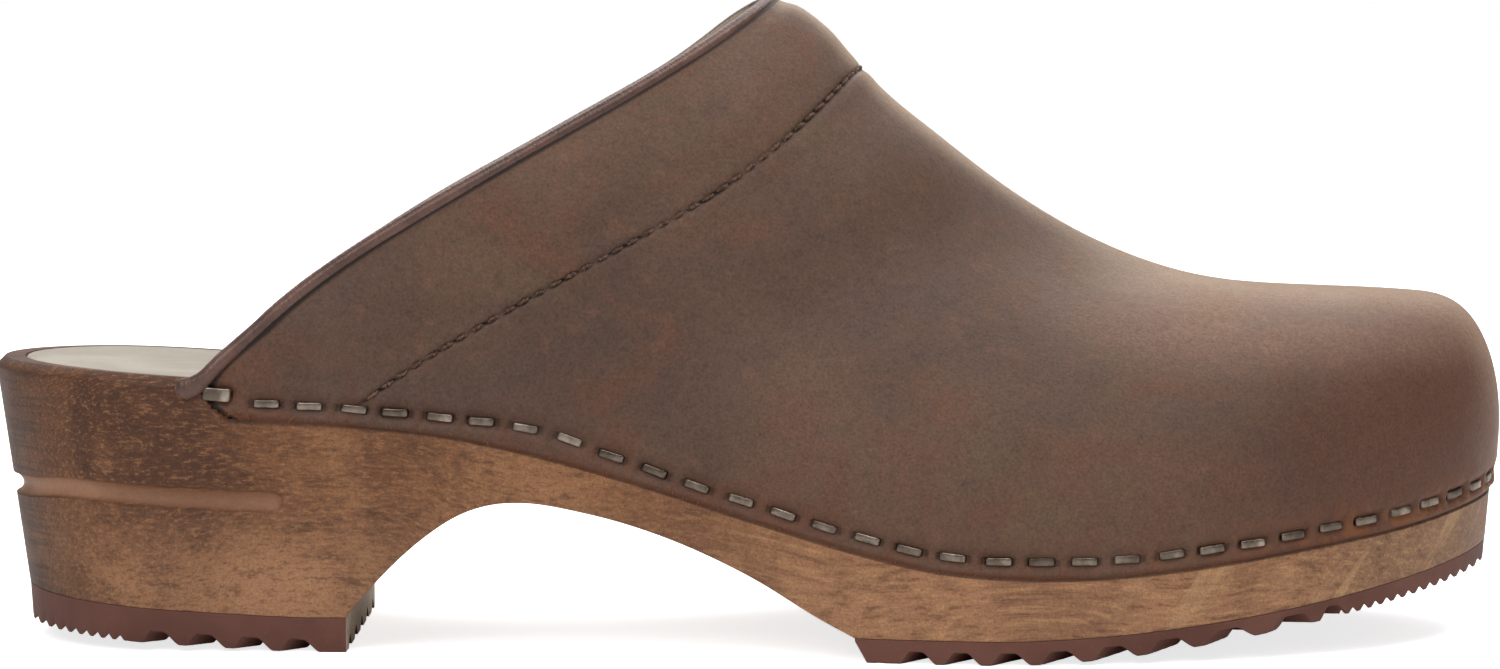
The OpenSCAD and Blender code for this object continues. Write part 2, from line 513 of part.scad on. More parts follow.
// Zigzag valley across the tread; x is its place where the zigzag starts at -y0
module valley(x, y0) {
    legs = 2 * y0 / zigzag;
    reach = zigzag * tan(valley_angle);
    for (k = [0 : legs - 1]) {
        up = k % 2 == 0 ? 1 : -1;
        xs = x + (up == 1 ? 0 : reach);
        z = floor_z(x + reach / 2);
        translate([xs, -y0 + k * zigzag, 0]) rotate([0, 0, -up * valley_angle]) translate([0, -0.5, 0])
            rotate([90, 0, 0]) mirror([0, 0, 1]) linear_extrude(zigzag / cos(valley_angle) + 1)
                polygon([[-3.6, -3], [-2.7, z - 0.2], [-1, z + lug_depth], [1, z + lug_depth], [3.4, z - 0.2], [4.2, -3]]);
    }
}
fine_heel_x = at(0.100);   // fine teeth behind, lugs in front
fine_toe_x = at(0.885);    // lugs behind, fine teeth in front
i_breast = [for (i = [0 : stations - 1]) if (abs(outer_line[i][0] - breast_x) < 0.01) i][0];
i_tread = [for (i = [0 : stations - 1]) if (abs(outer_line[i][0] - tread_back_x) < 0.01) i][0];
module heel_outsole() {
    color("maroon") difference() {
        intersection() {
            translate([0, 0, -5]) linear_extrude(30) polygon(tread_outline(0, i_breast, heel_tread - 2));
            slab(concat(tread_top(0, i_breast), teeth(heel_x + 2, fine_heel_x),
                        ground(fine_heel_x, heel_lift_x, 4), [[breast_x, 0]]));
        }
        for (k = [0 : 3]) valley(breast_x - 13.5 - lug_pitch * k, 3 * zigzag);
    }
}
module forefoot_outsole() {
    color("maroon") difference() {
        intersection() {
            translate([0, 0, -5]) linear_extrude(60) polygon(tread_outline(i_tread, stations - 1, 12));
            slab(concat(tread_top(i_tread, stations - 1), [[tread_back_x + 2.4, 0]],
                        ground(spring_x, fine_toe_x, 10), teeth(fine_toe_x, toe_x - 0.6)));
        }
        for (k = [0 : 8]) valley(tread_back_x + 8 + lug_pitch * 1.03 * k, 4 * zigzag);
    }
}

wooden_sole();
heel_outsole();
forefoot_outsole();
insole_foam();
insole_cover();
vamp();
toe_puff();
collar_padding();
collar_lining();
piping();
piping_cord();
seam_thread();
rim_staples();
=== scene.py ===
# Looks of an open-back clog: stained wooden sole block, rubber treads, suede insole,
# oiled leather upper with a stitched padded collar, piping and a row of steel staples.
# Lengths are in millimetres until a mesh is made; toe towards +X, outer side towards -Y.
import math

import bmesh
import bpy
import numpy as np
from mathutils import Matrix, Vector


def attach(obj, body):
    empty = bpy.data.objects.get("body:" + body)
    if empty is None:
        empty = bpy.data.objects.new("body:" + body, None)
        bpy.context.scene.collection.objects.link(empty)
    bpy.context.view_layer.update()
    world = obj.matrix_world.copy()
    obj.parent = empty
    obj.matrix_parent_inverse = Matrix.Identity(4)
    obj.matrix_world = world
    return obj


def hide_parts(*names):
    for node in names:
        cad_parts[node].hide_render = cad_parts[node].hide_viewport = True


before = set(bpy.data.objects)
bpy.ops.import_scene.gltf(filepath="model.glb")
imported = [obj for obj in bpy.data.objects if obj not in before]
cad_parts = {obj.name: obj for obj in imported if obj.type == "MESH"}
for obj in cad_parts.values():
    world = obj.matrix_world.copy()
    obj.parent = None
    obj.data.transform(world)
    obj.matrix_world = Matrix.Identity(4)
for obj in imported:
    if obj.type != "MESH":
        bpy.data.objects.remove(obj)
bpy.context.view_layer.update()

MM = 0.001
OUTER = -1
INNER = 1
SIDES = (OUTER, INNER)
SEED = 11

# ---- sizes of the part; each list below pairs places, as shares of a length, with values there
SOLE_LENGTH = 279.0
HEEL_X = -140.3
TOE_X = HEEL_X + SOLE_LENGTH
GROOVE_DEPTH = 1.6
TOE_DRAW = 6.0
INSTEP_HEIGHT = 117.6
TOE_BOX_HEIGHT = 63.6
LEATHER = 2.2
PADDING = 2.6
LINING = 1.0
PIPING_R = 1.6
STAPLE_CROWN = 5.7
STAPLE_WIRE = 1.4
STAPLE_LEG = 7.0
STAPLES_A_SIDE = 34
STITCH_PITCH = 3.2
HEEL_TREAD = 6.3
FORE_TREAD = 4.3


def at(share):
    """Place along the sole from a share of its length."""
    return HEEL_X + share * SOLE_LENGTH


HEEL_ROUND_X = at(0.130)
BREAST_X = at(0.2417)
TREAD_BACK_X = at(0.570)
UPPER_BACK_X = at(0.1620)
REBATE_X = at(0.1515)
MID_END_X = at(0.63)
BALL_X = {OUTER: at(0.664), INNER: at(0.711)}
OUTER_HALF = [(0.130, 34.34), (0.252, 34.68), (0.378, 36.04), (0.503, 41.1), (0.593, 47.6), (0.664, 50.5)]
INNER_HALF = [(0.130, 33.66), (0.252, 32.64), (0.378, 32.23), (0.503, 37.2), (0.611, 45.7), (0.711, 50.5)]
HALF = {OUTER: OUTER_HALF, INNER: INNER_HALF}
RIM = [(0.160, 42.5), (0.252, 41.1), (0.306, 39.4), (0.360, 36.3), (0.431, 31), (0.503, 24.9), (0.575, 19.4),
       (0.621, 16.7), (0.675, 15.5), (0.725, 15.5), (0.79, 17), (0.862, 19.7), (0.933, 22.6), (1, 26.5)]
REBATE = [(0.160, 7.2), (0.29, 9), (0.43, 10), (1, 9)]
SEAT = [(0, 51.9), (0.065, 51.2), (0.12, 50.3), (0.160, 49.6)]
ARCH = [(0.2417, 6.6), (0.266, 14.2), (0.291, 20.6), (0.317, 25.3), (0.338, 27.1), (0.356, 27.4),
        (0.395, 25.8), (0.446, 21.8), (0.503, 14.8), (0.549, 7.3), (0.570, 4.3)]
RIDGE = [(0.514, 1), (0.521, 0.995), (0.536, 0.963), (0.550, 0.909), (0.568, 0.817), (0.590, 0.696),
         (0.629, 0.531), (0.682, 0.328), (0.736, 0.167), (0.79, 0.063), (0.844, 0.0185), (0.897, 0.004),
         (0.926, 0)]
SEAM_A = 0.08
RISE_EARLY = [(0, 0.183), (SEAM_A, 0.333), (0.3, 0.27), (0.6, 0.12), (1, 0.01)]
RISE_LATE = [(0, 0.6), (SEAM_A, 0.73), (0.3, 0.63), (0.6, 0.36), (1, 0.085)]
RIDGE_PLACE = [(0, 0.521), (SEAM_A, 0.578), (0.25, 0.664), (0.5, 0.768), (0.7, 0.84), (0.85, 0.886),
               (1, 0.922)]
WALL_POWER = [(0, 2.6), (0.3, 2.4), (0.6, 2.5), (1, 4)]
ROOF_POWER = [(0, 1.9), (0.3, 2.1), (0.6, 2.4), (1, 4)]
BULGE = [(0, 0), (0.15, 0.6), (0.5, 1), (1, 1.9)]
TOE_SPLIT = {OUTER: 0.545, INNER: 0.61}
# how far the toe and the heel rise off the floor, and how sharply
SPRING_X = at(0.664)
TOE_SPRING = 13.1
TOE_SPRING_POWER = 1.75
HEEL_LIFT = 3.7
HEEL_LIFT_POWER = 1.2
WALL_LEAN = 0.055
LEAN_HEEL = 0.09
LEAN_TOE = 0.03
# the ridge's place to the inner side at the middle, how much more towards the toe, and over what length
RIDGE_Y = (3, 2, 120)
HEEL_LIFT_X = at(0.216)
GROOVE_Z = (30.3, 26.3)
GROOVE_END_X = at(0.203)
GROOVE_END_LENGTH = 3.2
GROOVE_DROP = [(-0.01, 0), (0.022, 0.35), (0.047, 1.0), (0.073, 0.9), (0.098, 0.5), (0.148, -0.3),
               (0.2, -0.9)]
BEVEL = 1.8
STEP_DEPTH = 2.4
STEP_H = 0.25
TAIL = [(0, -1.8), (0.02, 0.2), (0.05, 2.8), (0.08, 3.2), (0.12, 2.7), (0.17, 1.1), (0.22, 0)]
# the inner side's topline reaches a little further back, above an angle
FAR_REACH = 1.5
FAR_FROM = 48
FIRST_STAPLE_BACK = 1.7
HEEL_MARGIN = 2.2
DISH = 1.5
RECESS = 2.2
INSOLE_INSET = 3.3


# ---- maths
def lerp(a, b, t):
    return a + (b - a) * t


def smooth(t):
    c = np.clip(t, 0, 1)
    return c * c * (3 - 2 * c)


def unit(v):
    return v / np.maximum(np.linalg.norm(v, axis=-1, keepdims=True), 1e-9)


def steps(count):
    """Shares from 1 / count to 1."""
    return np.linspace(0, 1, count + 1)[1:]


def bell(x, width):
    return np.exp(-(x / width) ** 2)


def curve(points, x, flat=False):
    """Smooth curve through (x, y) points; flat makes both ends level."""
    p = np.asarray(points, float)
    h = np.diff(p[:, 0])
    secant = np.diff(p[:, 1]) / h
    slope = np.zeros(len(p))
    slope[1:-1] = (secant[:-1] * h[1:] + secant[1:] * h[:-1]) / (h[:-1] + h[1:])
    if not flat:
        slope[0] = secant[0]
        slope[-1] = secant[-1]
    u = np.clip(x, p[0, 0], p[-1, 0])
    i = np.clip(np.searchsorted(p[:, 0], u, side="right") - 1, 0, len(h) - 1)
    t = (u - p[i, 0]) / h[i]
    t2 = t * t
    t3 = t2 * t
    start = (2 * t3 - 3 * t2 + 1) * p[i, 1] + (t3 - 2 * t2 + t) * h[i] * slope[i]
    end = (3 * t2 - 2 * t3) * p[i + 1, 1] + (t3 - t2) * h[i] * slope[i + 1]
    return start + end


def share_of(x):
    return (x - HEEL_X) / SOLE_LENGTH


# ---- heights and outlines of the sole
def rim_z(x):
    return curve(RIM, share_of(x))


def sole_top(x):
    return np.where(x < REBATE_X, curve(SEAT, share_of(x)), rim_z(x) + curve(REBATE, share_of(x)))


def spring_z(x):
    return TOE_SPRING * np.maximum((x - SPRING_X) / (TOE_X - SPRING_X), 0) ** TOE_SPRING_POWER


def lift_z(x):
    return HEEL_LIFT * np.maximum((HEEL_LIFT_X - x) / (HEEL_LIFT_X - HEEL_X), 0) ** HEEL_LIFT_POWER


def sole_bottom(x):
    arch = np.maximum(curve(ARCH, share_of(x)), FORE_TREAD)
    ahead = np.where(x >= TREAD_BACK_X, spring_z(x) + FORE_TREAD, arch)
    return np.where(x <= BREAST_X, lift_z(x) + HEEL_TREAD, ahead)


def ridge_z(x):
    return TOE_BOX_HEIGHT + (INSTEP_HEIGHT - TOE_BOX_HEIGHT) * curve(RIDGE, share_of(x), True)


def half(x, side):
    return curve(HALF[side], share_of(x), True)


def toe_point(angle, side):
    """Round end of the toe: 0 at the ball, 90 degrees at the tip."""
    bx = BALL_X[side]
    wide = HALF[side][-1][1] - side * TOE_DRAW
    t = np.radians(angle)
    return bx + (TOE_X - bx) * np.sin(t), side * wide * np.cos(t) + TOE_DRAW


def sole_outline(side):
    """Points of the sole's outline from the back of the heel to the toe tip, and their inward directions."""
    t = np.radians(np.linspace(0, 90, 64))
    heel_x = HEEL_ROUND_X - (HEEL_ROUND_X - HEEL_X) * np.cos(t)
    heel_y = side * HALF[side][0][1] * np.sin(t)
    edges = [HEEL_ROUND_X, REBATE_X - 0.05, REBATE_X + 0.05, BREAST_X, TREAD_BACK_X, MID_END_X]
    mid = [np.linspace(a, b, max(int((b - a) / 0.6), 1) + 1)[1:] for a, b in zip(edges, edges[1:])]
    mid_x = np.concatenate(mid + [np.linspace(MID_END_X, BALL_X[side], 14)[1:-1]])
    toe_x, toe_y = toe_point(np.linspace(0, 90, 110), side)
    x = np.concatenate([heel_x, mid_x, toe_x])
    y = np.concatenate([heel_y, side * half(mid_x, side), toe_y])
    p = np.stack([x, y], -1)
    step = unit(np.concatenate([p[1:2] - p[:1], p[2:] - p[:-2], p[-1:] - p[-2:-1]]))
    n = -side * np.stack([-step[:, 1], step[:, 0]], -1)
    n[0] = (1, 0)
    n[-1] = (-1, 0)
    return p, n


LINE = {side: sole_outline(side) for side in SIDES}


def wall_at(side, inset, z):
    """Points on the sole's wall, one per station: inset from the outline, leaning in towards the floor."""
    p, n = LINE[side]
    x = p[:, 0]
    seat = curve(SEAT, share_of(x)) - BEVEL
    ref = lerp(rim_z(x), seat, smooth((at(0.21) - x) / (0.09 * SOLE_LENGTH)))
    lean = WALL_LEAN + np.where(x < 0, LEAN_HEEL, LEAN_TOE) * n[:, 0] ** 2
    d = inset + lean * np.maximum(ref - z, 0)
    return np.stack([x + n[:, 0] * d, p[:, 1] + n[:, 1] * d, z + 0 * x], -1)


def insole_edge(side, inset, drop):
    """Edge of the insole's recess, one point per station."""
    p, n = LINE[side]
    x = p[:, 0]
    d = INSOLE_INSET + (STEP_DEPTH + 1) * smooth((x - at(0.135)) / 22) + inset
    d = d + HEEL_MARGIN * n[:, 0] ** 2 * (x < 0)
    return np.stack([x + n[:, 0] * d, p[:, 1] + n[:, 1] * d, sole_top(x) - drop], -1)


def dish(x):
    return DISH * smooth((x - at(0.3)) / 60) * smooth((TOE_X - x) / 40)


# ---- meshes
# metres
MERGE_WITHIN = 2e-6
SHORTEST_EDGE = 1e-7


def link(name, data):
    """Puts an object with the given data in the scene."""
    thing = bpy.data.objects.new(name, data)
    bpy.context.scene.collection.objects.link(thing)
    return thing


def new_piece(name, node, points, faces, materials, material_index=None, attributes=None):
    """Makes a smooth-shaded piece from points in millimetres, in place of a CAD node if one is named."""
    mesh = bpy.data.meshes.new(name)
    faces = faces if isinstance(faces, list) else faces.tolist()
    mesh.from_pydata((np.asarray(points).reshape(-1, 3) * MM).tolist(), [], faces)
    for key, values in (attributes or {}).items():
        layer = mesh.attributes.new(key, "FLOAT", "POINT")
        layer.data.foreach_set("value", np.asarray(values, np.float32).reshape(-1))
    if material_index is not None:
        mesh.polygons.foreach_set("material_index", np.asarray(material_index, np.int32))
    for m in materials:
        mesh.materials.append(m)
    bm = bmesh.new()
    bm.from_mesh(mesh)
    bmesh.ops.remove_doubles(bm, verts=bm.verts, dist=MERGE_WITHIN)
    bmesh.ops.dissolve_degenerate(bm, edges=bm.edges, dist=SHORTEST_EDGE)
    bm.to_mesh(mesh)
    bm.free()
    mesh.polygons.foreach_set("use_smooth", [True] * len(mesh.polygons))
    mesh.update()
    piece = link(name, mesh)
    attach(piece, "root")
    if node:
        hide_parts(node)
    return piece


def sheet_faces(rows, columns, wrap=False, offset=0, flip=False):
    """Quads over a grid of rows by columns; wrap joins the last column to the first."""
    r = np.arange(rows - 1)[:, None]
    c = np.arange(columns if wrap else columns - 1)[None, :]
    d = (c + 1) % columns
    quad = np.stack([r * columns + c, r * columns + d, (r + 1) * columns + d, (r + 1) * columns + c], -1)
    quad = quad.reshape(-1, 4) + offset
    return quad[:, ::-1] if flip else quad


def tube_faces(rings, sides, offset=0):
    """Faces of a tube of rings, closed at both ends."""
    first = list(range(offset, offset + sides))
    last = [offset + (rings - 1) * sides + k for k in range(sides)]
    return sheet_faces(rings, sides, wrap=True, offset=offset).tolist() + [first, last[::-1]]


def round_sides(count):
    """Angles of the sides of a round section."""
    return np.radians(np.arange(count) * 360 / count)


def vertex_normals(points, faces):
    a, b, c, d = (points[faces[:, k]] for k in range(4))
    n = np.cross(c - a, d - b)
    total = np.zeros_like(points)
    for k in range(4):
        np.add.at(total, faces[:, k], n)
    return unit(total)


# ---- wooden sole
def leather_back(z):
    """Place of the leather's rear edge at a height just above the rim."""
    edge = skin(0.0, np.linspace(0, 30, 60), OUTER)
    return np.interp(z, edge[:, 2], edge[:, 0])


def groove_depth(x, t):
    """Depth of the heel's groove at a share of its width; it runs out in a round end."""
    run = np.clip((GROOVE_END_X - x) / GROOVE_END_LENGTH, 0, 1)
    open_share = np.sqrt(1 - (1 - run) ** 2)
    across = abs(2 * t - 1) / np.maximum(open_share, 1e-3)
    return GROOVE_DEPTH * np.clip(1 - across ** 2, 0, 1) ** 0.75 * smooth(run * 2)


EDGE_ROUNDING = ((1, 0), (0.88, 0.04), (0.46, 0.46), (0.04, 0.88), (0, 1.1))
REBATE_ROWS = 8
UPPER_WALL_ROWS = 8
GROOVE_ROWS = 20
LOWER_WALL_ROWS = 12
# rows above the groove, and the three rows on the step under the leather
ROWS_TO_GROOVE = len(EDGE_ROUNDING) + REBATE_ROWS + 2 + UPPER_WALL_ROWS
LEDGE_ROWS = np.arange(3) + len(EDGE_ROUNDING) + REBATE_ROWS - 1


def wall_rows(side):
    """Points of the sole's wall from the top edge down to the ground side, row by row."""
    x = LINE[side][0][:, 0]
    top = sole_top(x)
    b = BEVEL * (1 - 0.7 * (x >= REBATE_X))

    def rebate(z):
        """Depth of the rebate at a height; its rear wall follows the leather's slanted edge."""
        return STEP_DEPTH * smooth((x - leather_back(z) + 0.05) / 0.6 + 0.5)

    z_step = np.minimum(rim_z(x), top - 4)
    low = sole_bottom(x)
    heel = smooth((at(0.235) - x) / 5)
    drop = curve(GROOVE_DROP, share_of(x))
    g_top = lerp(lerp(low, z_step, 0.75), GROOVE_Z[0] + drop, heel)
    g_low = lerp(lerp(low, z_step, 0.45), GROOVE_Z[1] + drop, heel)
    rows = [wall_at(side, rebate(top - b * d) + b * s, top - b * d) for s, d in EDGE_ROUNDING]
    for t in steps(REBATE_ROWS):
        z = lerp(top - 1.1 * b, z_step + STEP_H, t)
        rows.append(wall_at(side, rebate(z), z))
    rows.append(wall_at(side, rebate(z_step) * 0.15, z_step + STEP_H * 0.6))
    rows.append(wall_at(side, 0, z_step - STEP_H))
    for t in steps(UPPER_WALL_ROWS):
        rows.append(wall_at(side, 0, lerp(z_step - STEP_H, g_top, t)))
    for t in steps(GROOVE_ROWS):
        rows.append(wall_at(side, groove_depth(x, t), lerp(g_top, g_low, t)))
    for t in steps(LOWER_WALL_ROWS)[:-1]:
        rows.append(wall_at(side, 0, lerp(g_low, low + 0.5, t)))
    for inset, up in ((0, 0.4), (0.06, 0.1), (0.2, 0)):
        rows.append(wall_at(side, inset, low + up))
    return rows


def between(a, b, count, sink):
    """Rows strung from a to b, sunk in the middle."""
    rows = []
    for k in range(1, count):
        t = k / count
        row = lerp(a, b, t)
        row[:, 2] -= sink * 4 * t * (1 - t)
        rows.append(row)
    return rows


def recess_rows(side, wall_top):
    """Rows from the top of the wall over the lip and down to the floor of the recess."""
    lip = insole_edge(side, -0.22, 0.03)
    return [lerp(wall_top, lip, 0.5), lip, insole_edge(side, -0.08, 0.25), insole_edge(side, -0.08, RECESS)]


def make_wooden_sole(material):
    """One closed loft: outer wall, ground side, inner wall, lip and recess."""
    outer = wall_rows(OUTER)
    inner = wall_rows(INNER)
    x = LINE[OUTER][0][:, 0]
    down = recess_rows(INNER, inner[0])
    up = recess_rows(OUTER, outer[0])[::-1]
    bottom = between(outer[-1], inner[-1], 20, 0)
    rows = outer + bottom + inner[::-1] + down + between(down[-1], up[0], 24, dish(x)) + up
    points = np.stack(rows, 1)
    faces = sheet_faces(points.shape[0], points.shape[1], wrap=True)
    last = len(outer) + len(bottom) + len(inner) - 1
    cove = np.zeros(points.shape[:2])
    for k, t in enumerate(steps(GROOVE_ROWS)):
        for row in (ROWS_TO_GROOVE + k, last - ROWS_TO_GROOVE - k):
            cove[:, row] = smooth(groove_depth(x, t) / GROOVE_DEPTH * 1.3)
    ledge = np.zeros(points.shape[:2])
    for row in (LEDGE_ROWS, last - LEDGE_ROWS):
        ledge[:, row] = smooth((x - REBATE_X - 2) / 3)[:, None]
    piece = new_piece("sole_block", "wooden_sole", points, faces, [material],
                      attributes={"cove": cove, "ledge": ledge})
    sharpen(piece, 40)


def sharpen(piece, degrees):
    """Marks edges sharper than the given angle, so that shading breaks there."""
    piece.data.set_sharp_from_angle(angle=math.radians(degrees))


# ---- insole
INSOLE_EDGE = [(0.06, RECESS - 0.1), (0.05, 0.75), (0.1, 0.42), (0.28, 0.2), (0.6, 0.06), (1.2, 0)]


def make_insole(material):
    """Suede cover that lies flush in its recess, with a soft rolled edge."""
    x = LINE[OUTER][0][:, 0]
    out, inn = ([insole_edge(side, inset, drop) for inset, drop in INSOLE_EDGE] for side in SIDES)
    across = between(out[-1], inn[-1], 56, dish(x))
    under = between(inn[0], out[0], 8, dish(x))
    points = np.stack(out + across + inn[::-1] + under, 1)
    px, py = points[..., 0], points[..., 1]
    soft = 0.12 * np.sin(px / 9.1 + 1.3) * np.sin(py / 7.3) + 0.08 * np.sin(px / 4.3) * np.cos(py / 5.1)
    inside = np.zeros(points.shape[1])
    inside[len(out):len(out) + len(across)] = np.sin(np.linspace(0, math.pi, len(across)))
    points[..., 2] += soft * inside[None, :]
    faces = sheet_faces(points.shape[0], points.shape[1], wrap=True, flip=True)
    new_piece("insole_suede_cover", "insole_cover", points, faces, [material])


# ---- upper surface
def rim_point(a, side):
    """Lower edge of the upper: a runs from 0 at the rear corner to 1 at the toe tip."""
    split = TOE_SPLIT[side]
    x = lerp(UPPER_BACK_X + 0.5, BALL_X[side], np.minimum(a / split, 1))
    tx, ty = toe_point(90 * np.maximum((a - split) / (1 - split), 0), side)
    early = a < split
    return np.where(early, x, tx), np.where(early, side * half(x, side), ty)


def rim_normal(a, side):
    x0, y0 = rim_point(np.maximum(a - 0.004, 0), side)
    x1, y1 = rim_point(np.minimum(a + 0.004, 1), side)
    t = unit(np.stack([x1 - x0, y1 - y0], -1))
    tip = a >= 1
    return np.where(tip, 1, -side * t[..., 1]), np.where(tip, 0, side * t[..., 0])


def skin(a, angle, side):
    """Outer face of the leather; angle runs from 0 at the rim to 90 degrees on the ridge."""
    a, angle = np.broadcast_arrays(np.asarray(a, float), np.asarray(angle, float))
    rx, ry = rim_point(a, side)
    nx, ny = rim_normal(a, side)
    z0 = rim_z(rx)
    cx = at(curve(RIDGE_PLACE, a))
    cy = RIDGE_Y[0] + RIDGE_Y[1] * smooth(cx / RIDGE_Y[2])
    cz = ridge_z(cx)
    t = np.radians(angle)
    up = np.sin(t) ** (2 / curve(WALL_POWER, a))
    inn = 1 - np.maximum(np.cos(t), 0) ** (2 / curve(ROOF_POWER, a))
    # cubic from 0 at the rim over given shares at a third and two thirds of the height to 1 at the ridge
    k1 = curve(RISE_EARLY, a)
    k2 = curve(RISE_LATE, a)
    early = (13.5 * k1 * up * (up - 2 / 3) * (up - 1) - 13.5 * k2 * up * (up - 1 / 3) * (up - 1)
             + 4.5 * up * (up - 1 / 3) * (up - 2 / 3))
    along = lerp(early, inn, smooth((a - 0.12) / 0.6))
    b = curve(BULGE, a) * np.sin(np.pi * np.minimum(up, 1) ** 0.8)
    tail = smooth(1 - a / 0.03) * curve(TAIL, up, True)
    if side == INNER:
        far = np.clip((angle - FAR_FROM) / (90 - FAR_FROM), 0, 1)
        tail = tail + FAR_REACH * smooth(1 - a / 0.07) * np.sin(np.pi * far) ** 2
    return np.stack([lerp(rx, cx, along) + nx * b - tail, lerp(ry, cy, inn) + ny * b, lerp(z0, cz, up)], -1)


def skin_normal(a, angle, side):
    a, angle = np.broadcast_arrays(np.asarray(a, float), np.asarray(angle, float))
    da = skin(np.minimum(a + 0.01, 1), angle, side) - skin(np.maximum(a - 0.01, 0), angle, side)
    dt = skin(a, np.minimum(angle + 1, 90), side) - skin(a, np.maximum(angle - 1, 0), side)
    n = side * np.cross(dt, da)
    nx, ny = rim_normal(a, side)
    n = np.where((angle < 0.5)[..., None], np.stack([nx, ny, 0 * nx], -1), n)
    flat = (angle > 89.5) | (a > 0.999)
    n[..., 1] = np.where(flat, 0, n[..., 1])
    return unit(n)


def inside_skin(a, angle, side, depth):
    return skin(a, angle, side) - np.asarray(depth)[..., None] * skin_normal(a, angle, side)


def angle_at(a, height, rim):
    """Angle at which the skin is at a height above the rim."""
    up = height / (ridge_z(at(curve(RIDGE_PLACE, a))) - rim)
    return np.degrees(np.arcsin(up ** (curve(WALL_POWER, a) / 2)))


def wood_angle(a):
    """Angle at which the skin is just above the wood."""
    rx, _ = rim_point(a, OUTER)
    return angle_at(a, curve(REBATE, share_of(rx)) + 1.5, rim_z(rx))


# ---- collar seam
def seam_place(angle):
    return SEAM_A - 0.006 * np.sin(np.pi * np.clip((angle - 35) / 55, 0, 1))


SEAM_FROM = 2.0
SEAM_ANGLES = np.linspace(SEAM_FROM, 89.5, 400)


def seam_point(angle, side, lift=0.05):
    return inside_skin(seam_place(angle), angle, side, -lift)


def running_length(points):
    return np.concatenate([[0], np.cumsum(np.linalg.norm(np.diff(points, axis=0), axis=1))])


SEAM_RUN = {side: running_length(seam_point(SEAM_ANGLES, side)) for side in SIDES}


# ---- staples along the rim
STAPLE_HEIGHT = 3.1
WAIST_RISE = 1.7
CORNER_RISE = 0.9


def staple_height(x):
    """Height of the staple row above the rim; it climbs at the waist and at the rear corner."""
    return STAPLE_HEIGHT + WAIST_RISE * bell(x - at(0.367), 14) + CORNER_RISE * bell(x - UPPER_BACK_X, 4)


def staple_places(side):
    """Centre, direction along the rim and outward direction of each staple on a side."""
    a = np.linspace(0, 1, 2000)
    x, y = rim_point(a, side)
    run = running_length(np.stack([x, y], -1))
    k = np.arange(STAPLES_A_SIDE)
    place = np.interp(k / (STAPLES_A_SIDE - 0.5) * run[-1], run, a)
    px, py = rim_point(place, side)
    nx, ny = rim_normal(place, side)
    first = k == 0
    px = px - (FIRST_STAPLE_BACK - 0.5) * first
    pz = rim_z(px) + staple_height(px) + 0.7 * first
    ahead = rim_z(px + 1) + staple_height(px + 1)
    behind = rim_z(px - 1) + staple_height(px - 1)
    rise = np.where(first, -0.1, (ahead - behind) / 2)
    tangent = np.stack([side * ny, -side * nx], -1)
    tangent = np.where((tangent[:, :1] < 0), -tangent, tangent)
    along = unit(np.concatenate([tangent, (rise * tangent[:, 0])[:, None]], 1))
    out = unit(np.stack([nx, ny, 0 * nx], -1))
    ring = skin(place, angle_at(place, staple_height(px), rim_z(px)), side)
    centre = np.stack([px, py, pz], -1)
    centre += out * np.sum((ring - centre) * out, -1, keepdims=True)
    return centre, along, out


STAPLES = {side: staple_places(side) for side in SIDES}


# ---- vamp
COLLAR_PUFF = 0.55
SEAM_GROOVE = 0.28
BEAD_COVER = 0.4
BEAD_LIFT = 0.25
SWAY = 0.18
TOE_FLARE = 1.0
EDGE_ROLL = 0.5
DENT_INSIDE = 0.35
RIM_ROWS_STEP = 0.5
RIM_ROWS = 26
FIELD_ROWS = 84


def vamp_columns():
    """Places along the rim, close together at the topline and at the seam."""
    edges = [0, 0.012, 0.066, 0.088, 1]
    counts = [10, 26, 24, 400]
    parts = [np.linspace(a, b, n + 1)[1:] for a, b, n in zip(edges, edges[1:], counts)]
    return np.concatenate([[0.0]] + parts)


def vamp_angles(a, side):
    """Angles of the rows in each column, spaced by length up the skin, closest near the rim."""
    t = np.linspace(0, 1, 420) ** 2.2 * 90
    grid = skin(a[:, None], t[None, :], side)
    length = np.linalg.norm(np.diff(grid, axis=1), axis=2)
    run = np.concatenate([np.zeros((len(a), 1)), np.cumsum(length, 1)], 1)
    near = np.arange(RIM_ROWS) * RIM_ROWS_STEP
    angles = np.zeros((len(a), RIM_ROWS + FIELD_ROWS))
    lengths = np.zeros_like(angles)
    for i in range(len(a)):
        far = lerp(near[-1], run[i, -1], np.linspace(0, 1, FIELD_ROWS + 1)[1:] ** 1.15)
        s = np.concatenate([near, far])
        angles[i] = np.interp(s, run[i], t)
        lengths[i] = s
    angles[:, -1] = 90
    return angles, lengths


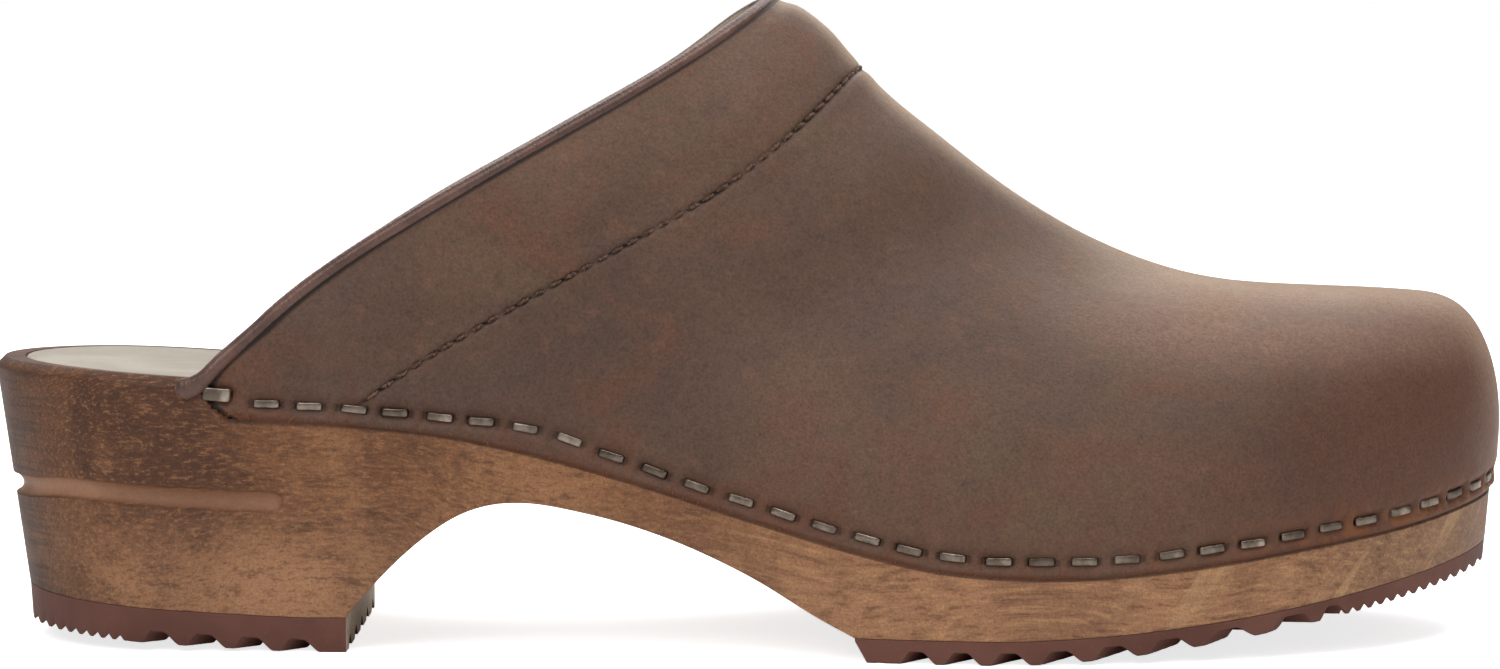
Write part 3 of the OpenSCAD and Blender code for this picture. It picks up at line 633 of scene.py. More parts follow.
def staple_field(points, side_of):
    """Depth of the dents that the staples press into the leather, how near a staple is, and its dark slot."""
    depth = np.zeros(len(points))
    near = np.zeros(len(points))
    slot = np.zeros(len(points))
    rng = np.random.RandomState(SEED)
    for side in SIDES:
        centre, along, out = STAPLES[side]
        for k in range(STAPLES_A_SIDE):
            pull = 0.75 + 0.35 * rng.rand()
            d = points - centre[k]
            hit = np.where((np.abs(d).max(1) < 11) & (side_of == side))[0]
            u = d[hit] @ along[k]
            v = d[hit] @ np.cross(out[k], along[k])
            seat = (1 - smooth((np.abs(u) - 2.6) / 0.9)) * (1 - smooth((np.abs(v) - 0.5) / 1.7))
            ends = bell(np.abs(u) - 2.9, 0.6) * bell(v, 0.9)
            ridge = bell(u, 4.2) * bell(np.abs(v) - 3.0, 1.4)
            depth[hit] += pull * (0.75 * seat + 0.5 * ends) - 0.14 * ridge
            near[hit] = np.maximum(near[hit], bell(u, 3.6) * bell(v, 2.6))
            frame_u = 1 - smooth((np.abs(u) - 2.85 - 0.25 * rng.rand()) / 0.45)
            frame_v = 1 - smooth((np.abs(v) - 0.66) / 0.3)
            slot[hit] = np.maximum(slot[hit], frame_u * frame_v)
    return depth, near, slot


def seam_field(a, angle, side_of):
    """Relief of the collar seam, its holes, and how near the seam is."""
    depth = np.zeros(len(a))
    groove = np.zeros(len(a))
    holes = np.zeros(len(a))
    for side in SIDES:
        hit = np.where((side_of == side) & (np.abs(a - SEAM_A) < 0.03))[0]
        t = angle[hit]
        place = seam_place(t)
        step = np.linalg.norm(skin(place + 0.002, t, side) - skin(place - 0.002, t, side), axis=1) / 0.004
        d = (a[hit] - place) * step
        s = np.interp(t, SEAM_ANGLES, SEAM_RUN[side])
        beat = (s / STITCH_PITCH) % 1
        beat = np.minimum(beat, 1 - beat) * STITCH_PITCH
        on = smooth((t - 1) / 1.5)
        groove[hit] = bell(d, 0.55) * on
        holes[hit] = bell(d, 0.62) * bell(beat, 0.6) * on
        puff = bell(np.abs(d) - 2.4, 1.5)
        depth[hit] = on * (SEAM_GROOVE * bell(d, 0.85) + 0.45 * bell(d, 0.55) * bell(beat, 0.5) - 0.08 * puff)
    return depth, groove, holes


def base_at(a, angle, side_of):
    """Skin points for arrays that mix both sides."""
    points = np.zeros((len(a), 3))
    for side in SIDES:
        pick = side_of == side
        points[pick] = skin(a[pick], angle[pick], side)
    return points


def make_vamp(face, flesh, edge):
    """Closed leather shell: outer face with relief, flesh side, and cut edges all round."""
    columns = vamp_columns()
    n = len(columns)
    m = RIM_ROWS + FIELD_ROWS
    count = 2 * n - 1
    u = np.arange(count)
    mirror = np.where(u < n, u, count - 1 - u)
    side_u = np.where(u < n, OUTER, INNER)
    grids = {side: vamp_angles(columns, side) for side in SIDES}
    a = np.repeat(columns[mirror], m)
    angle, reach = (np.concatenate([grids[s][k][i] for s, i in zip(side_u, mirror)]) for k in (0, 1))
    side_of = np.repeat(side_u, m)
    base = base_at(a, angle, side_of)
    faces = sheet_faces(count, m)
    # the two sides share the points of the ridge
    ridge = np.arange(count) * m + m - 1
    twin = (count - 1 - np.arange(count)) * m + m - 1
    remap = np.arange(count * m)
    remap[ridge[n:]] = twin[n:]
    faces = remap[faces]
    normal = vertex_normals(base, faces)
    if np.sum(normal[:, 2] * (angle > 80)) < 0:
        normal = -normal
    normal = normal[remap]
    dent, near, slot = staple_field(base, side_of)
    seam, groove, holes = seam_field(a, angle, side_of)
    collar = smooth(a / 0.02) * smooth((SEAM_A - 0.004 - a) / 0.03) * smooth((reach - 8) / 14)
    x, y, z = base.T
    sway = SWAY * np.sin(x / 17 + 0.6 * np.sin(y / 11)) * np.sin(z / 13 + y / 19) * smooth((reach - 6) / 12)
    flare = TOE_FLARE * smooth((a - 0.985) / 0.015) * bell(reach, 3.5)
    roll = EDGE_ROLL * bell(reach, 0.5)
    lift = COLLAR_PUFF * collar + sway + flare - roll - dent - seam
    bead = smooth(1 - a / 0.009)
    back = unit(base - base_at(np.minimum(a + 0.02, 1), angle, side_of))
    cover = back * (BEAD_COVER * bead)[:, None] * smooth((reach - 1) / 3)[:, None]
    lift = lift + BEAD_LIFT * bead * smooth((reach - 1) / 3)
    outer = base + cover + normal * lift[:, None]
    thick = LEATHER - 0.25 * bell(reach, 0.8)
    inner = base + normal * (np.minimum(flare, 1) - np.maximum(dent, 0) * DENT_INSIDE - thick)[:, None]
    outer = outer[remap]
    inner = inner[remap]
    total = count * m
    # the flesh side, then the cut edges along the rim and along the topline on each side
    inner_faces = faces[:, ::-1] + total
    rim_o = np.arange(count) * m
    rim = np.stack([rim_o[:-1], rim_o[:-1] + total, rim_o[1:] + total, rim_o[1:]], -1)
    first = np.arange(m)
    last = (count - 1) * m + np.arange(m)
    back = np.stack([first[:-1], first[1:], first[1:] + total, first[:-1] + total], -1)
    front = np.stack([last[:-1], last[:-1] + total, last[1:] + total, last[1:]], -1)
    ends = np.concatenate([back, front])
    ends = np.where(ends < total, remap[ends % total], remap[ends % total] + total)
    every = np.concatenate([faces, inner_faces, rim, ends])
    kinds = np.repeat([0, 1, 2], [len(faces), len(faces), len(rim) + len(ends)])
    both = [np.concatenate([v, v]) for v in (reach, groove, holes, near, slot, a)]
    keys = ("reach", "seam", "holes", "staple", "slot", "place")
    new_piece("vamp_leather", "vamp", [outer, inner], every, [face, flesh, edge], kinds,
              dict(zip(keys, both)))


# ---- collar lining
def make_lining(material):
    """Smooth leather lining, padded, from the piping to the collar seam on the inside."""
    share = np.linspace(0, 1, 34)
    pad = PADDING * (0.12 + 0.9 * np.sin(np.pi * share ** 0.8) ** 0.8)
    a = lerp(0.004, SEAM_A - 0.002, share)
    sections = []
    for side in SIDES:
        t = np.linspace(0, 1, 150)
        low = wood_angle(a)
        angle = low[None, :] + (90 - low[None, :]) * t[:, None]
        grid_a = np.broadcast_to(a[None, :], angle.shape)
        front = inside_skin(grid_a, angle, side, LEATHER + 0.05 + 0 * angle)
        crown = np.minimum(pad[None, :] + 0.25 + 0 * angle, pad[None, :] + LINING)
        back = inside_skin(grid_a, angle, side, LEATHER + 0.05 + crown)
        section = np.concatenate([front, back[:, ::-1]], 1)
        sections.append(section if side == OUTER else section[::-1][1:])
    points = np.concatenate(sections, 0)
    faces = sheet_faces(points.shape[0], points.shape[1], wrap=True).tolist()
    m = points.shape[1]
    last = (points.shape[0] - 1) * m
    for k in range(m // 2 - 1):
        faces.append([k, k + 1, m - 2 - k, m - 1 - k])
        faces.append([last + k + 1, last + k, last + m - 1 - k, last + m - 2 - k])
    new_piece("collar_lining_band", "collar_lining", points, faces, [material])


# ---- piping
PIPING_RINGS = 760
PIPING_SIDES = 24
CORD_SIDES = 18
CORD_R = 0.62
CORD_RELIEF = 0.09
CORD_TWIST = 1.5
CORD_SHORTER = 12
PATH_ROUNDS = 30
# places of the piping's flattened end behind the leather's corner: back, out and up
PIPING_TAIL = ((8.4, 0.2, 5.2), (5.2, 0.5, 5.8))
WRINKLE_PITCH = 0.8


def pipe_centre(t, side):
    angle = lerp(3, 90, t ** 1.1)
    p = inside_skin(0 * angle, angle, side, LEATHER * 0.4 + 0 * angle)
    q = inside_skin(0 * angle + 0.02, angle, side, LEATHER * 0.4 + 0 * angle)
    out = 1.7 * (1 - smooth((p[:, 2] - 50) / 7))
    centre = p + unit(p - q) * (PIPING_R - 0.2)
    centre[:, 1] += side * out
    return centre


def smooth_path(points, count):
    """Even, rounded path through points."""
    run = running_length(points)
    s = np.linspace(0, run[-1], count)
    path = np.stack([np.interp(s, run, points[:, k]) for k in range(3)], -1)
    for _ in range(PATH_ROUNDS):
        path[1:-1] = 0.25 * path[:-2] + 0.5 * path[1:-1] + 0.25 * path[2:]
    return path


def make_piping(material, cord_material):
    """Wrinkled tube along the topline whose ends lie flattened under the first staples, with its cord."""
    parts = {}
    for side in SIDES:
        centre = pipe_centre(np.linspace(0, 1, 60), side)
        rx, ry = rim_point(np.zeros(1), side)
        tail = [[rx[0] - back, ry[0] + side * out, rim_z(rx)[0] + up] for back, out, up in PIPING_TAIL]
        parts[side] = np.concatenate([tail, centre])
    path = smooth_path(np.concatenate([parts[OUTER], parts[INNER][::-1][1:]]), PIPING_RINGS)
    run = running_length(path)
    tangent = unit(np.gradient(path, axis=0))
    u = unit(np.cross(tangent, [1.0, 0, 0.3]))
    v = np.cross(tangent, u)
    from_end = np.minimum(run, run[-1] - run)
    ring = round_sides(PIPING_SIDES)
    rng = np.random.RandomState(SEED + 1)
    knots = np.arange(0, run[-1] + 2, WRINKLE_PITCH)
    wave = np.interp(run, knots, rng.rand(len(knots)))
    slant = run[:, None] + 0.9 * np.sin(ring)[None, :]
    fold = np.sin(slant * 3.1 + 2.2 * wave[:, None]) ** 4
    radius = PIPING_R * 0.92 * (1 - 0.045 * fold * wave[:, None] - 0.03 * np.sin(run / 5.2)[:, None])
    radius = radius * (0.35 + 0.65 * smooth(from_end / 1.6))[:, None]
    flat = 1 - 0.5 * (1 - smooth((from_end - 2) / 6))
    fan = 1 + 0.35 * (1 - smooth((from_end - 2) / 5))
    across = np.cos(ring)[None, :] * radius
    deep = np.sin(ring)[None, :] * radius
    points = path[:, None, :] + u[:, None, :] * across[..., None] + v[:, None, :] * deep[..., None]
    points = path[:, None] + (points - path[:, None]) * fan[:, None, None]
    middle = path[:, None, 1:2]
    points[..., 1:2] = middle + (points[..., 1:2] - middle) * flat[:, None, None]
    new_piece("topline_piping", "piping", points, tube_faces(PIPING_RINGS, PIPING_SIDES),
              [material], attributes={"run": np.repeat(run, PIPING_SIDES)})
    inner = slice(CORD_SHORTER, -CORD_SHORTER)
    make_cord(path[inner], u[inner], v[inner], cord_material)


def make_cord(path, u, v, material):
    """Three-strand cord inside the piping."""
    run = running_length(path)
    ring = round_sides(CORD_SIDES)
    radius = CORD_R + CORD_RELIEF * np.cos(3 * (ring[None, :] + run[:, None] * CORD_TWIST))
    points = (path[:, None] + u[:, None] * (np.cos(ring) * radius)[..., None]
              + v[:, None] * (np.sin(ring) * radius)[..., None])
    faces = tube_faces(len(path), CORD_SIDES)
    new_piece("piping_core_cord", "piping_cord", points, faces, [material])


# ---- collar stitches
STRAND_R = 0.21
STRAND_TURN = 1.7
STRAND_SIDES = 8
STITCH_RINGS = 17
STITCH_GAP = 0.17
STITCH_SINK = 0.85
STITCH_SKEW = 0.16


def make_stitches(material):
    """Each stitch is a pair of twisted strands that rises from one hole and dives into the next."""
    points = []
    faces = []
    rng = np.random.RandomState(SEED + 2)
    ring = round_sides(STRAND_SIDES)
    s = np.linspace(STITCH_GAP, 1 - STITCH_GAP, STITCH_RINGS)
    rise = np.sin(np.pi * np.clip((s - STITCH_GAP) / (1 - 2 * STITCH_GAP), 0, 1)) ** 0.5
    for side in SIDES:
        table = SEAM_RUN[side]
        for k in range(int(table[-1] // STITCH_PITCH)):
            along = (k + s) * STITCH_PITCH
            angle = np.interp(along, table, SEAM_ANGLES)
            height = rise - STITCH_SINK + 0.05 * rng.rand()
            path = inside_skin(seam_place(angle), angle, side, -height)
            t = unit(np.gradient(path, axis=0))
            n = skin_normal(seam_place(angle), angle, side)
            b = unit(np.cross(t, n))
            n = np.cross(b, t)
            skew = STITCH_SKEW * (rng.rand() - 0.5)
            path = path + b * (skew * np.linspace(-1, 1, STITCH_RINGS))[:, None]
            phase = rng.rand() * 6.3
            for strand in (0, np.pi):
                twist = phase + strand + 2 * np.pi * along / STRAND_TURN
                core = path + (b * np.cos(twist)[:, None] + n * np.sin(twist)[:, None]) * STRAND_R * 0.72
                hoop = core[:, None, :] + STRAND_R * (b[:, None, :] * np.cos(ring)[None, :, None]
                                                      + n[:, None, :] * np.sin(ring)[None, :, None])
                faces += tube_faces(STITCH_RINGS, STRAND_SIDES, len(points) * STITCH_RINGS * STRAND_SIDES)
                points.append(hoop)
    new_piece("collar_stitches", "seam_thread", points, faces, [material])


# ---- staples
STAPLE_BEND = 0.55
STAPLE_DEEP = 0.36
STAPLE_ROUND = 0.2
STAPLE_CORNER = 3
STAPLE_TILT = math.radians(3.0)
STAPLE_SHIFT = np.array([0.5, 0.35, 0.12])
STAPLE_SINK = 0.48
# the first staple on each side is wider and longer and stands proud
FIRST_STAPLE = {"wider": 1.7, "longer": 1.06, "proud": 1.25}
OTHER_STAPLES = {"wider": 1.0, "longer": 1.0, "proud": 0.0}


def staple_path():
    """Centre line of a staple's wire: up one leg, along the crown, down the other leg."""
    h = STAPLE_CROWN / 2 - STAPLE_WIRE / 2
    r = STAPLE_BEND
    bend = np.radians(np.linspace(0, 90, 6))
    left = np.stack([-h + r - r * np.cos(bend), -r + r * np.sin(bend)], -1)
    right = left[::-1] * [-1, 1]
    leg = [[-h, -STAPLE_LEG + 1], [-h, -2.2]]
    crown = [[-0.9, 0.03], [0.9, 0.03]]
    return np.concatenate([leg, left, crown, right, np.multiply(leg[::-1], [-1, 1])])


def make_staples(material):
    """Flat-wire staples, each a little shifted and turned."""
    path = staple_path()
    t = unit(np.gradient(path, axis=0))
    normal = np.stack([-t[:, 1], t[:, 0]], -1)
    r = STAPLE_ROUND
    hoop = []
    for cx, cy, start in ((1, 1, 0), (-1, 1, 90), (-1, -1, 180), (1, -1, 270)):
        for k in range(STAPLE_CORNER + 1):
            q = math.radians(start + 90 * k / STAPLE_CORNER)
            hoop.append((cx * (STAPLE_WIRE / 2 - r) + r * math.cos(q),
                         cy * (STAPLE_DEEP - r) + r * math.sin(q)))
    hoop = np.array(hoop)
    m = len(hoop)
    points = []
    faces = []
    dull = []
    rng = np.random.RandomState(SEED + 3)
    for side in SIDES:
        centre, along, out = STAPLES[side]
        for k in range(STAPLES_A_SIDE):
            kind = OTHER_STAPLES if k else FIRST_STAPLE
            turn = STAPLE_TILT * (rng.rand() - 0.5) * 2
            up = np.cross(out[k], along[k])
            x_axis = along[k] * math.cos(turn) + up * math.sin(turn)
            z_axis = np.cross(x_axis, out[k])
            shift = (rng.rand(3) - 0.5) * STAPLE_SHIFT
            origin = centre[k] + x_axis * shift[0] + z_axis * shift[1]
            origin = origin + out[k] * (shift[2] - STAPLE_SINK + kind["proud"])
            local_x = path[:, None, 0] * kind["longer"] + normal[:, None, 0] * hoop[None, :, 1]
            local_y = path[:, None, 1] + normal[:, None, 1] * hoop[None, :, 1]
            local_z = np.broadcast_to(hoop[None, :, 0] * kind["wider"], local_x.shape)
            axes = ((x_axis, local_x), (out[k], local_y), (z_axis, local_z))
            world = origin + sum(axis * share[..., None] for axis, share in axes)
            faces += tube_faces(len(path), m, len(points) * len(path) * m)
            points.append(world)
            dull.append(np.full(len(path) * m, rng.rand() ** 2))
    new_piece("rim_staple_row", "rim_staples", points, faces, [material],
              attributes={"dull": dull})


# ---- treads
LUG_DEPTH = 2.2
LUG_PITCH = 8.6
TOOTH_PITCH = 2.2
ZIGZAG = 13.0
NOTCH_PITCH = 12.5
VALLEY_SLOPE = math.tan(math.radians(35))
FIRST_HEEL_VALLEY_X = BREAST_X - 13.5
HEEL_VALLEYS = 4
FIRST_FORE_VALLEY_X = TREAD_BACK_X + 8
FORE_VALLEYS = 9
FINE_HEEL_X = at(0.100)
FINE_TOE_X = at(0.885)
TOE_WEAR = 0.9


def floor_z(x):
    """Height of the treads' faces; the toe end is a little worn off."""
    return spring_z(x) + lift_z(x) + TOE_WEAR * smooth((x - SPRING_X) / 60)


def valley(x, y, start, reach_y):
    """Depth of one zigzag valley that starts at a place on the outer side."""
    leg = (y + reach_y) / ZIGZAG
    swing = np.abs((leg + 1) % 2 - 1) * ZIGZAG * VALLEY_SLOPE
    d = (x - start - swing) * math.cos(math.atan(VALLEY_SLOPE))
    rise = np.clip((d + 2.6) / 1.6, 0, 1) * np.clip((3.3 - d) / 2.3, 0, 1)
    return LUG_DEPTH * lerp(rise, smooth(rise), 0.5)


def teeth(x, start, end):
    """Height of the notches between fine teeth from start to end."""
    t = ((x - start) / TOOTH_PITCH) % 1
    notch = np.maximum(1 - t / 0.35, 0) + np.maximum((t - 0.65) / 0.35, 0)
    return TOOTH_PITCH * 0.45 * notch * (x > start) * (x < end)


def end_notches(y, share):
    """Row of pointed notches cut in the end that faces the arch."""
    t = ((y + 24) / NOTCH_PITCH + 0.5) % 1
    return LUG_DEPTH * np.clip(1.25 - np.abs(2 * t - 1) * 2.6, 0, 1) * np.clip(share, 0, 1)


def heel_ground(x, y):
    starts = FIRST_HEEL_VALLEY_X - LUG_PITCH * np.arange(HEEL_VALLEYS)
    lugs = np.maximum.reduce([valley(x, y, start, 3 * ZIGZAG) for start in starts])
    lugs = lugs * (x > FINE_HEEL_X - 4)
    fine = teeth(x, HEEL_X + 2, FINE_HEEL_X)
    return floor_z(x) + np.maximum(np.maximum(lugs, fine), end_notches(y, (x - BREAST_X + 4.5) / 2))


def fore_ground(x, y):
    starts = FIRST_FORE_VALLEY_X + LUG_PITCH * 1.03 * np.arange(FORE_VALLEYS)
    lugs = np.maximum.reduce([valley(x, y, start, 4 * ZIGZAG) for start in starts])
    fine = teeth(x, FINE_TOE_X, TOE_X)
    back = (FORE_TREAD - 0.05) * np.clip(1 - (x - TREAD_BACK_X) / 2.4, 0, 1)
    back = np.minimum(back + end_notches(y, (TREAD_BACK_X + 5.5 - x) / 2), FORE_TREAD - 0.05)
    return floor_z(x) + np.maximum(np.maximum(lugs, fine), back)


def tread_sections(first, last, dense, across, ground):
    """Closed sections of a tread between two stations of the outline."""
    index = np.linspace(first, last, (last - first) * dense + 1)

    def line(side, inset, z):
        full = wall_at(side, inset, z)
        return np.stack([np.interp(index, np.arange(len(full)), full[:, k]) for k in range(3)], -1)

    low = sole_bottom(LINE[OUTER][0][:, 0])
    walls = {}
    for side in SIDES:
        edge = line(side, 0.05, low - 3)
        top = line(side, 0.05, low - 0.03)
        z_low = ground(edge[:, 0], edge[:, 1])
        z_top = top[:, 2]
        z_low = np.minimum(z_low, z_top)
        rows = [top]
        for t, inset in ((0.3, 0), (0.6, 0), (0.93, 0), (1.0, 0.2)):
            row = lerp(top, edge, t)
            row[:, 2] = lerp(z_top, z_low, t)
            pull = unit(line(-side, 0, low - 3)[:, :2] - row[:, :2])
            row[:, :2] += pull * inset
            rows.append(row)
        walls[side] = rows
    a = walls[OUTER][-1]
    b = walls[INNER][-1]
    bottom = []
    for k in range(1, across):
        row = lerp(a, b, k / across)
        ceiling = lerp(walls[OUTER][0], walls[INNER][0], k / across)[:, 2]
        row[:, 2] = np.minimum(ground(row[:, 0], row[:, 1]), ceiling)
        bottom.append(row)
    top = between(walls[INNER][0], walls[OUTER][0], 12, 0)
    return np.stack(walls[OUTER] + bottom + walls[INNER][::-1] + top, 1)


def make_tread(name, node, first, last, dense, across, ground, material):
    """One tread; the end that faces the arch is closed, and at the other end its sides meet."""
    points = tread_sections(first, last, dense, across, ground)
    n, m = points.shape[:2]
    faces = sheet_faces(n, m, wrap=True).tolist()
    if first > 0:
        faces.append(list(range(m)))
    else:
        faces.append([(n - 1) * m + k for k in range(m)][::-1])
    sharpen(new_piece(name, node, points, faces, [material]), 32)


def make_treads(material):
    x = LINE[OUTER][0][:, 0]
    breast = int(np.argmin(np.abs(x - BREAST_X)))
    back = int(np.argmin(np.abs(x - TREAD_BACK_X)))
    make_tread("heel_tread", "heel_outsole", 0, breast, 3, 130, heel_ground, material)
    make_tread("forefoot_tread", "forefoot_outsole", back, len(x) - 1, 4, 160, fore_ground, material)


# ---- loose fibres of the cut edge
FIBRES_A_SIDE = 420
FIBRES_AT_CORNER = 90
FIBRE_RINGS = 5
FIBRE_SIDES = 3
FIBRE_R = 0.085


def make_fibres(material):
    """Short frayed fibres that stand out of the leather's cut lower edge."""
    rng = np.random.RandomState(SEED + 4)
    ring = round_sides(FIBRE_SIDES)
    t = np.linspace(0, 1, FIBRE_RINGS)[:, None]
    radius = FIBRE_R * (1.05 - t[:, 0])
    points = []
    faces = []
    for side in SIDES:
        a = rng.rand(FIBRES_A_SIDE) ** 1.6
        a[:FIBRES_AT_CORNER] = 0.02 * rng.rand(FIBRES_AT_CORNER)
        base = skin(a, 0.4, side)
        nx, ny = rim_normal(a, side)
        out = np.stack([nx, ny, 0 * nx], -1)
        along = np.stack([ny, -nx, 0 * nx], -1)
        for k in range(FIBRES_A_SIDE):
            length = 0.6 + 1.3 * rng.rand() ** 2
            start = base[k] - out[k] * (0.2 + 0.5 * rng.rand()) - [0, 0, 0.05]
            aim = out[k] * (0.5 + 0.7 * rng.rand()) + along[k] * 1.6 * (rng.rand() - 0.5)
            aim = aim - [0, 0, 0.45 + 0.6 * rng.rand()]
            curl = along[k] * (rng.rand() - 0.5) * 1.2 + out[k] * (rng.rand() - 0.5)
            path = start + length * (aim * t + curl * t * t * 0.5)
            hoop = path[:, None] + radius[:, None, None] * (along[k] * np.cos(ring)[:, None]
                                                            + np.array([0, 0, 1]) * np.sin(ring)[:, None])
            faces += tube_faces(FIBRE_RINGS, FIBRE_SIDES, len(points) * FIBRE_RINGS * FIBRE_SIDES)
            points.append(hoop)
    new_piece("leather_edge_fibres", None, points, faces, [material])


# ---- node materials
def rgb(r, g, b):
    """Linear colour from the usual 0-255 values."""
    out = []
    for v in (r, g, b):
        c = v / 255
        out.append(c / 12.92 if c <= 0.04045 else ((c + 0.055) / 1.055) ** 2.4)
    return (*out, 1.0)


SOCKETS = {"color": "Base Color", "rough": "Roughness", "metal": "Metallic", "normal": "Normal",
           "sheen": "Sheen Weight", "sheen_rough": "Sheen Roughness", "sheen_tint": "Sheen Tint",
           "coat": "Coat Weight", "coat_rough": "Coat Roughness", "specular": "Specular IOR Level",
           "glow": "Emission Strength", "glow_color": "Emission Color"}


class Shader:
    """Small helper that builds a material's node tree; colour is laid on in layers."""

    def __init__(self, name):
        self.material = bpy.data.materials.new(name)
        self.material.use_nodes = True
        self.tree = self.material.node_tree
        self.tree.nodes.clear()
        self.bsdf = self.node("BsdfPrincipled")
        self.tree.links.new(self.bsdf.outputs[0], self.node("OutputMaterial").inputs[0])
        self.position = self.node("TexCoord").outputs["Object"]
        self.x, self.y, self.z = self.node("SeparateXYZ", {0: self.position}).outputs
        self.color = None

    def node(self, kind, inputs=None, **settings):
        made = self.tree.nodes.new("ShaderNode" + kind)
        for key, value in settings.items():
            setattr(made, key, value)
        for key, value in (inputs or {}).items():
            self.plug(made.inputs[key], value)
        return made

    def plug(self, socket, value):
        if isinstance(value, bpy.types.NodeSocket):
            self.tree.links.new(value, socket)
        elif value is not None:
            socket.default_value = value

    def done(self, **inputs):
        """Plugs the last values in and gives the material."""
        for key, value in {"color": self.color, **inputs}.items():
            self.plug(self.bsdf.inputs[SOCKETS[key]], value)
        return self.material

    def math(self, operation, a, b=None):
        return self.node("Math", {0: a, 1: b}, operation=operation).outputs[0]

    def times(self, a, b):
        return self.math("MULTIPLY", a, b)

    def plus(self, a, b):
        return self.math("ADD", a, b)

    def vector(self, x, y, z):
        return self.node("CombineXYZ", {0: x, 1: y, 2: z}).outputs[0]

    def facing(self):
        """The shading normal's x, y and z."""
        return self.node("SeparateXYZ", {0: self.node("NewGeometry").outputs["Normal"]}).outputs

    def scaled(self, x, y, z, vector=None, turn=(0, 0, 0)):
        return self.node("Mapping", {0: vector or self.position, "Scale": (x, y, z),
                                     "Rotation": turn}).outputs[0]

    def noise(self, scale, detail=4.0, rough=0.55, vector=None, warp=0.0):
        return self.node("TexNoise", {"Vector": vector or self.position, "Scale": scale, "Detail": detail,
                                      "Roughness": rough, "Distortion": warp}).outputs[0]

    def cells(self, scale):
        return self.node("TexVoronoi", {"Vector": self.position, "Scale": scale}).outputs[0]

    def attribute(self, name):
        return self.node("Attribute", attribute_name=name).outputs["Fac"]

    def span(self, value, low, high, to_low=0.0, to_high=1.0, kind="SMOOTHSTEP"):
        """Maps low..high to to_low..to_high, held at both ends."""
        return self.node("MapRange", {0: value, 1: low, 2: high, 3: to_low, 4: to_high},
                         interpolation_type=kind).outputs[0]

    def line(self, value, low, high, to_low, to_high):
        return self.span(value, low, high, to_low, to_high, "LINEAR")

    def mix(self, share, a, b, kind="MIX"):
        made = self.node("Mix", {0: share}, data_type="RGBA", blend_type=kind)
        self.plug(made.inputs[6], a)
        self.plug(made.inputs[7], b)
        return made.outputs[2]

    def base(self, field, low, high, first, second):
        """First colour layer: one tone where the field is low, the other where it is high."""
        self.color = self.mix(self.span(field, low, high), rgb(*first), rgb(*second))

    def paint(self, share, r, g, b):
        """Lays a colour over the layers below."""
        self.color = self.mix(share, self.color, rgb(r, g, b))

    def shade(self, value, share=1.0):
        """Multiplies the layers below by a grey value."""
        grey = self.node("CombineColor", {0: value, 1: value, 2: value}).outputs[0]
        self.color = self.mix(share, self.color, grey, "MULTIPLY")

    def bump(self, height, distance, strength=1.0, below=None):
        return self.node("Bump", {"Height": height, "Distance": distance, "Strength": strength,
                                  "Normal": below}).outputs[0]


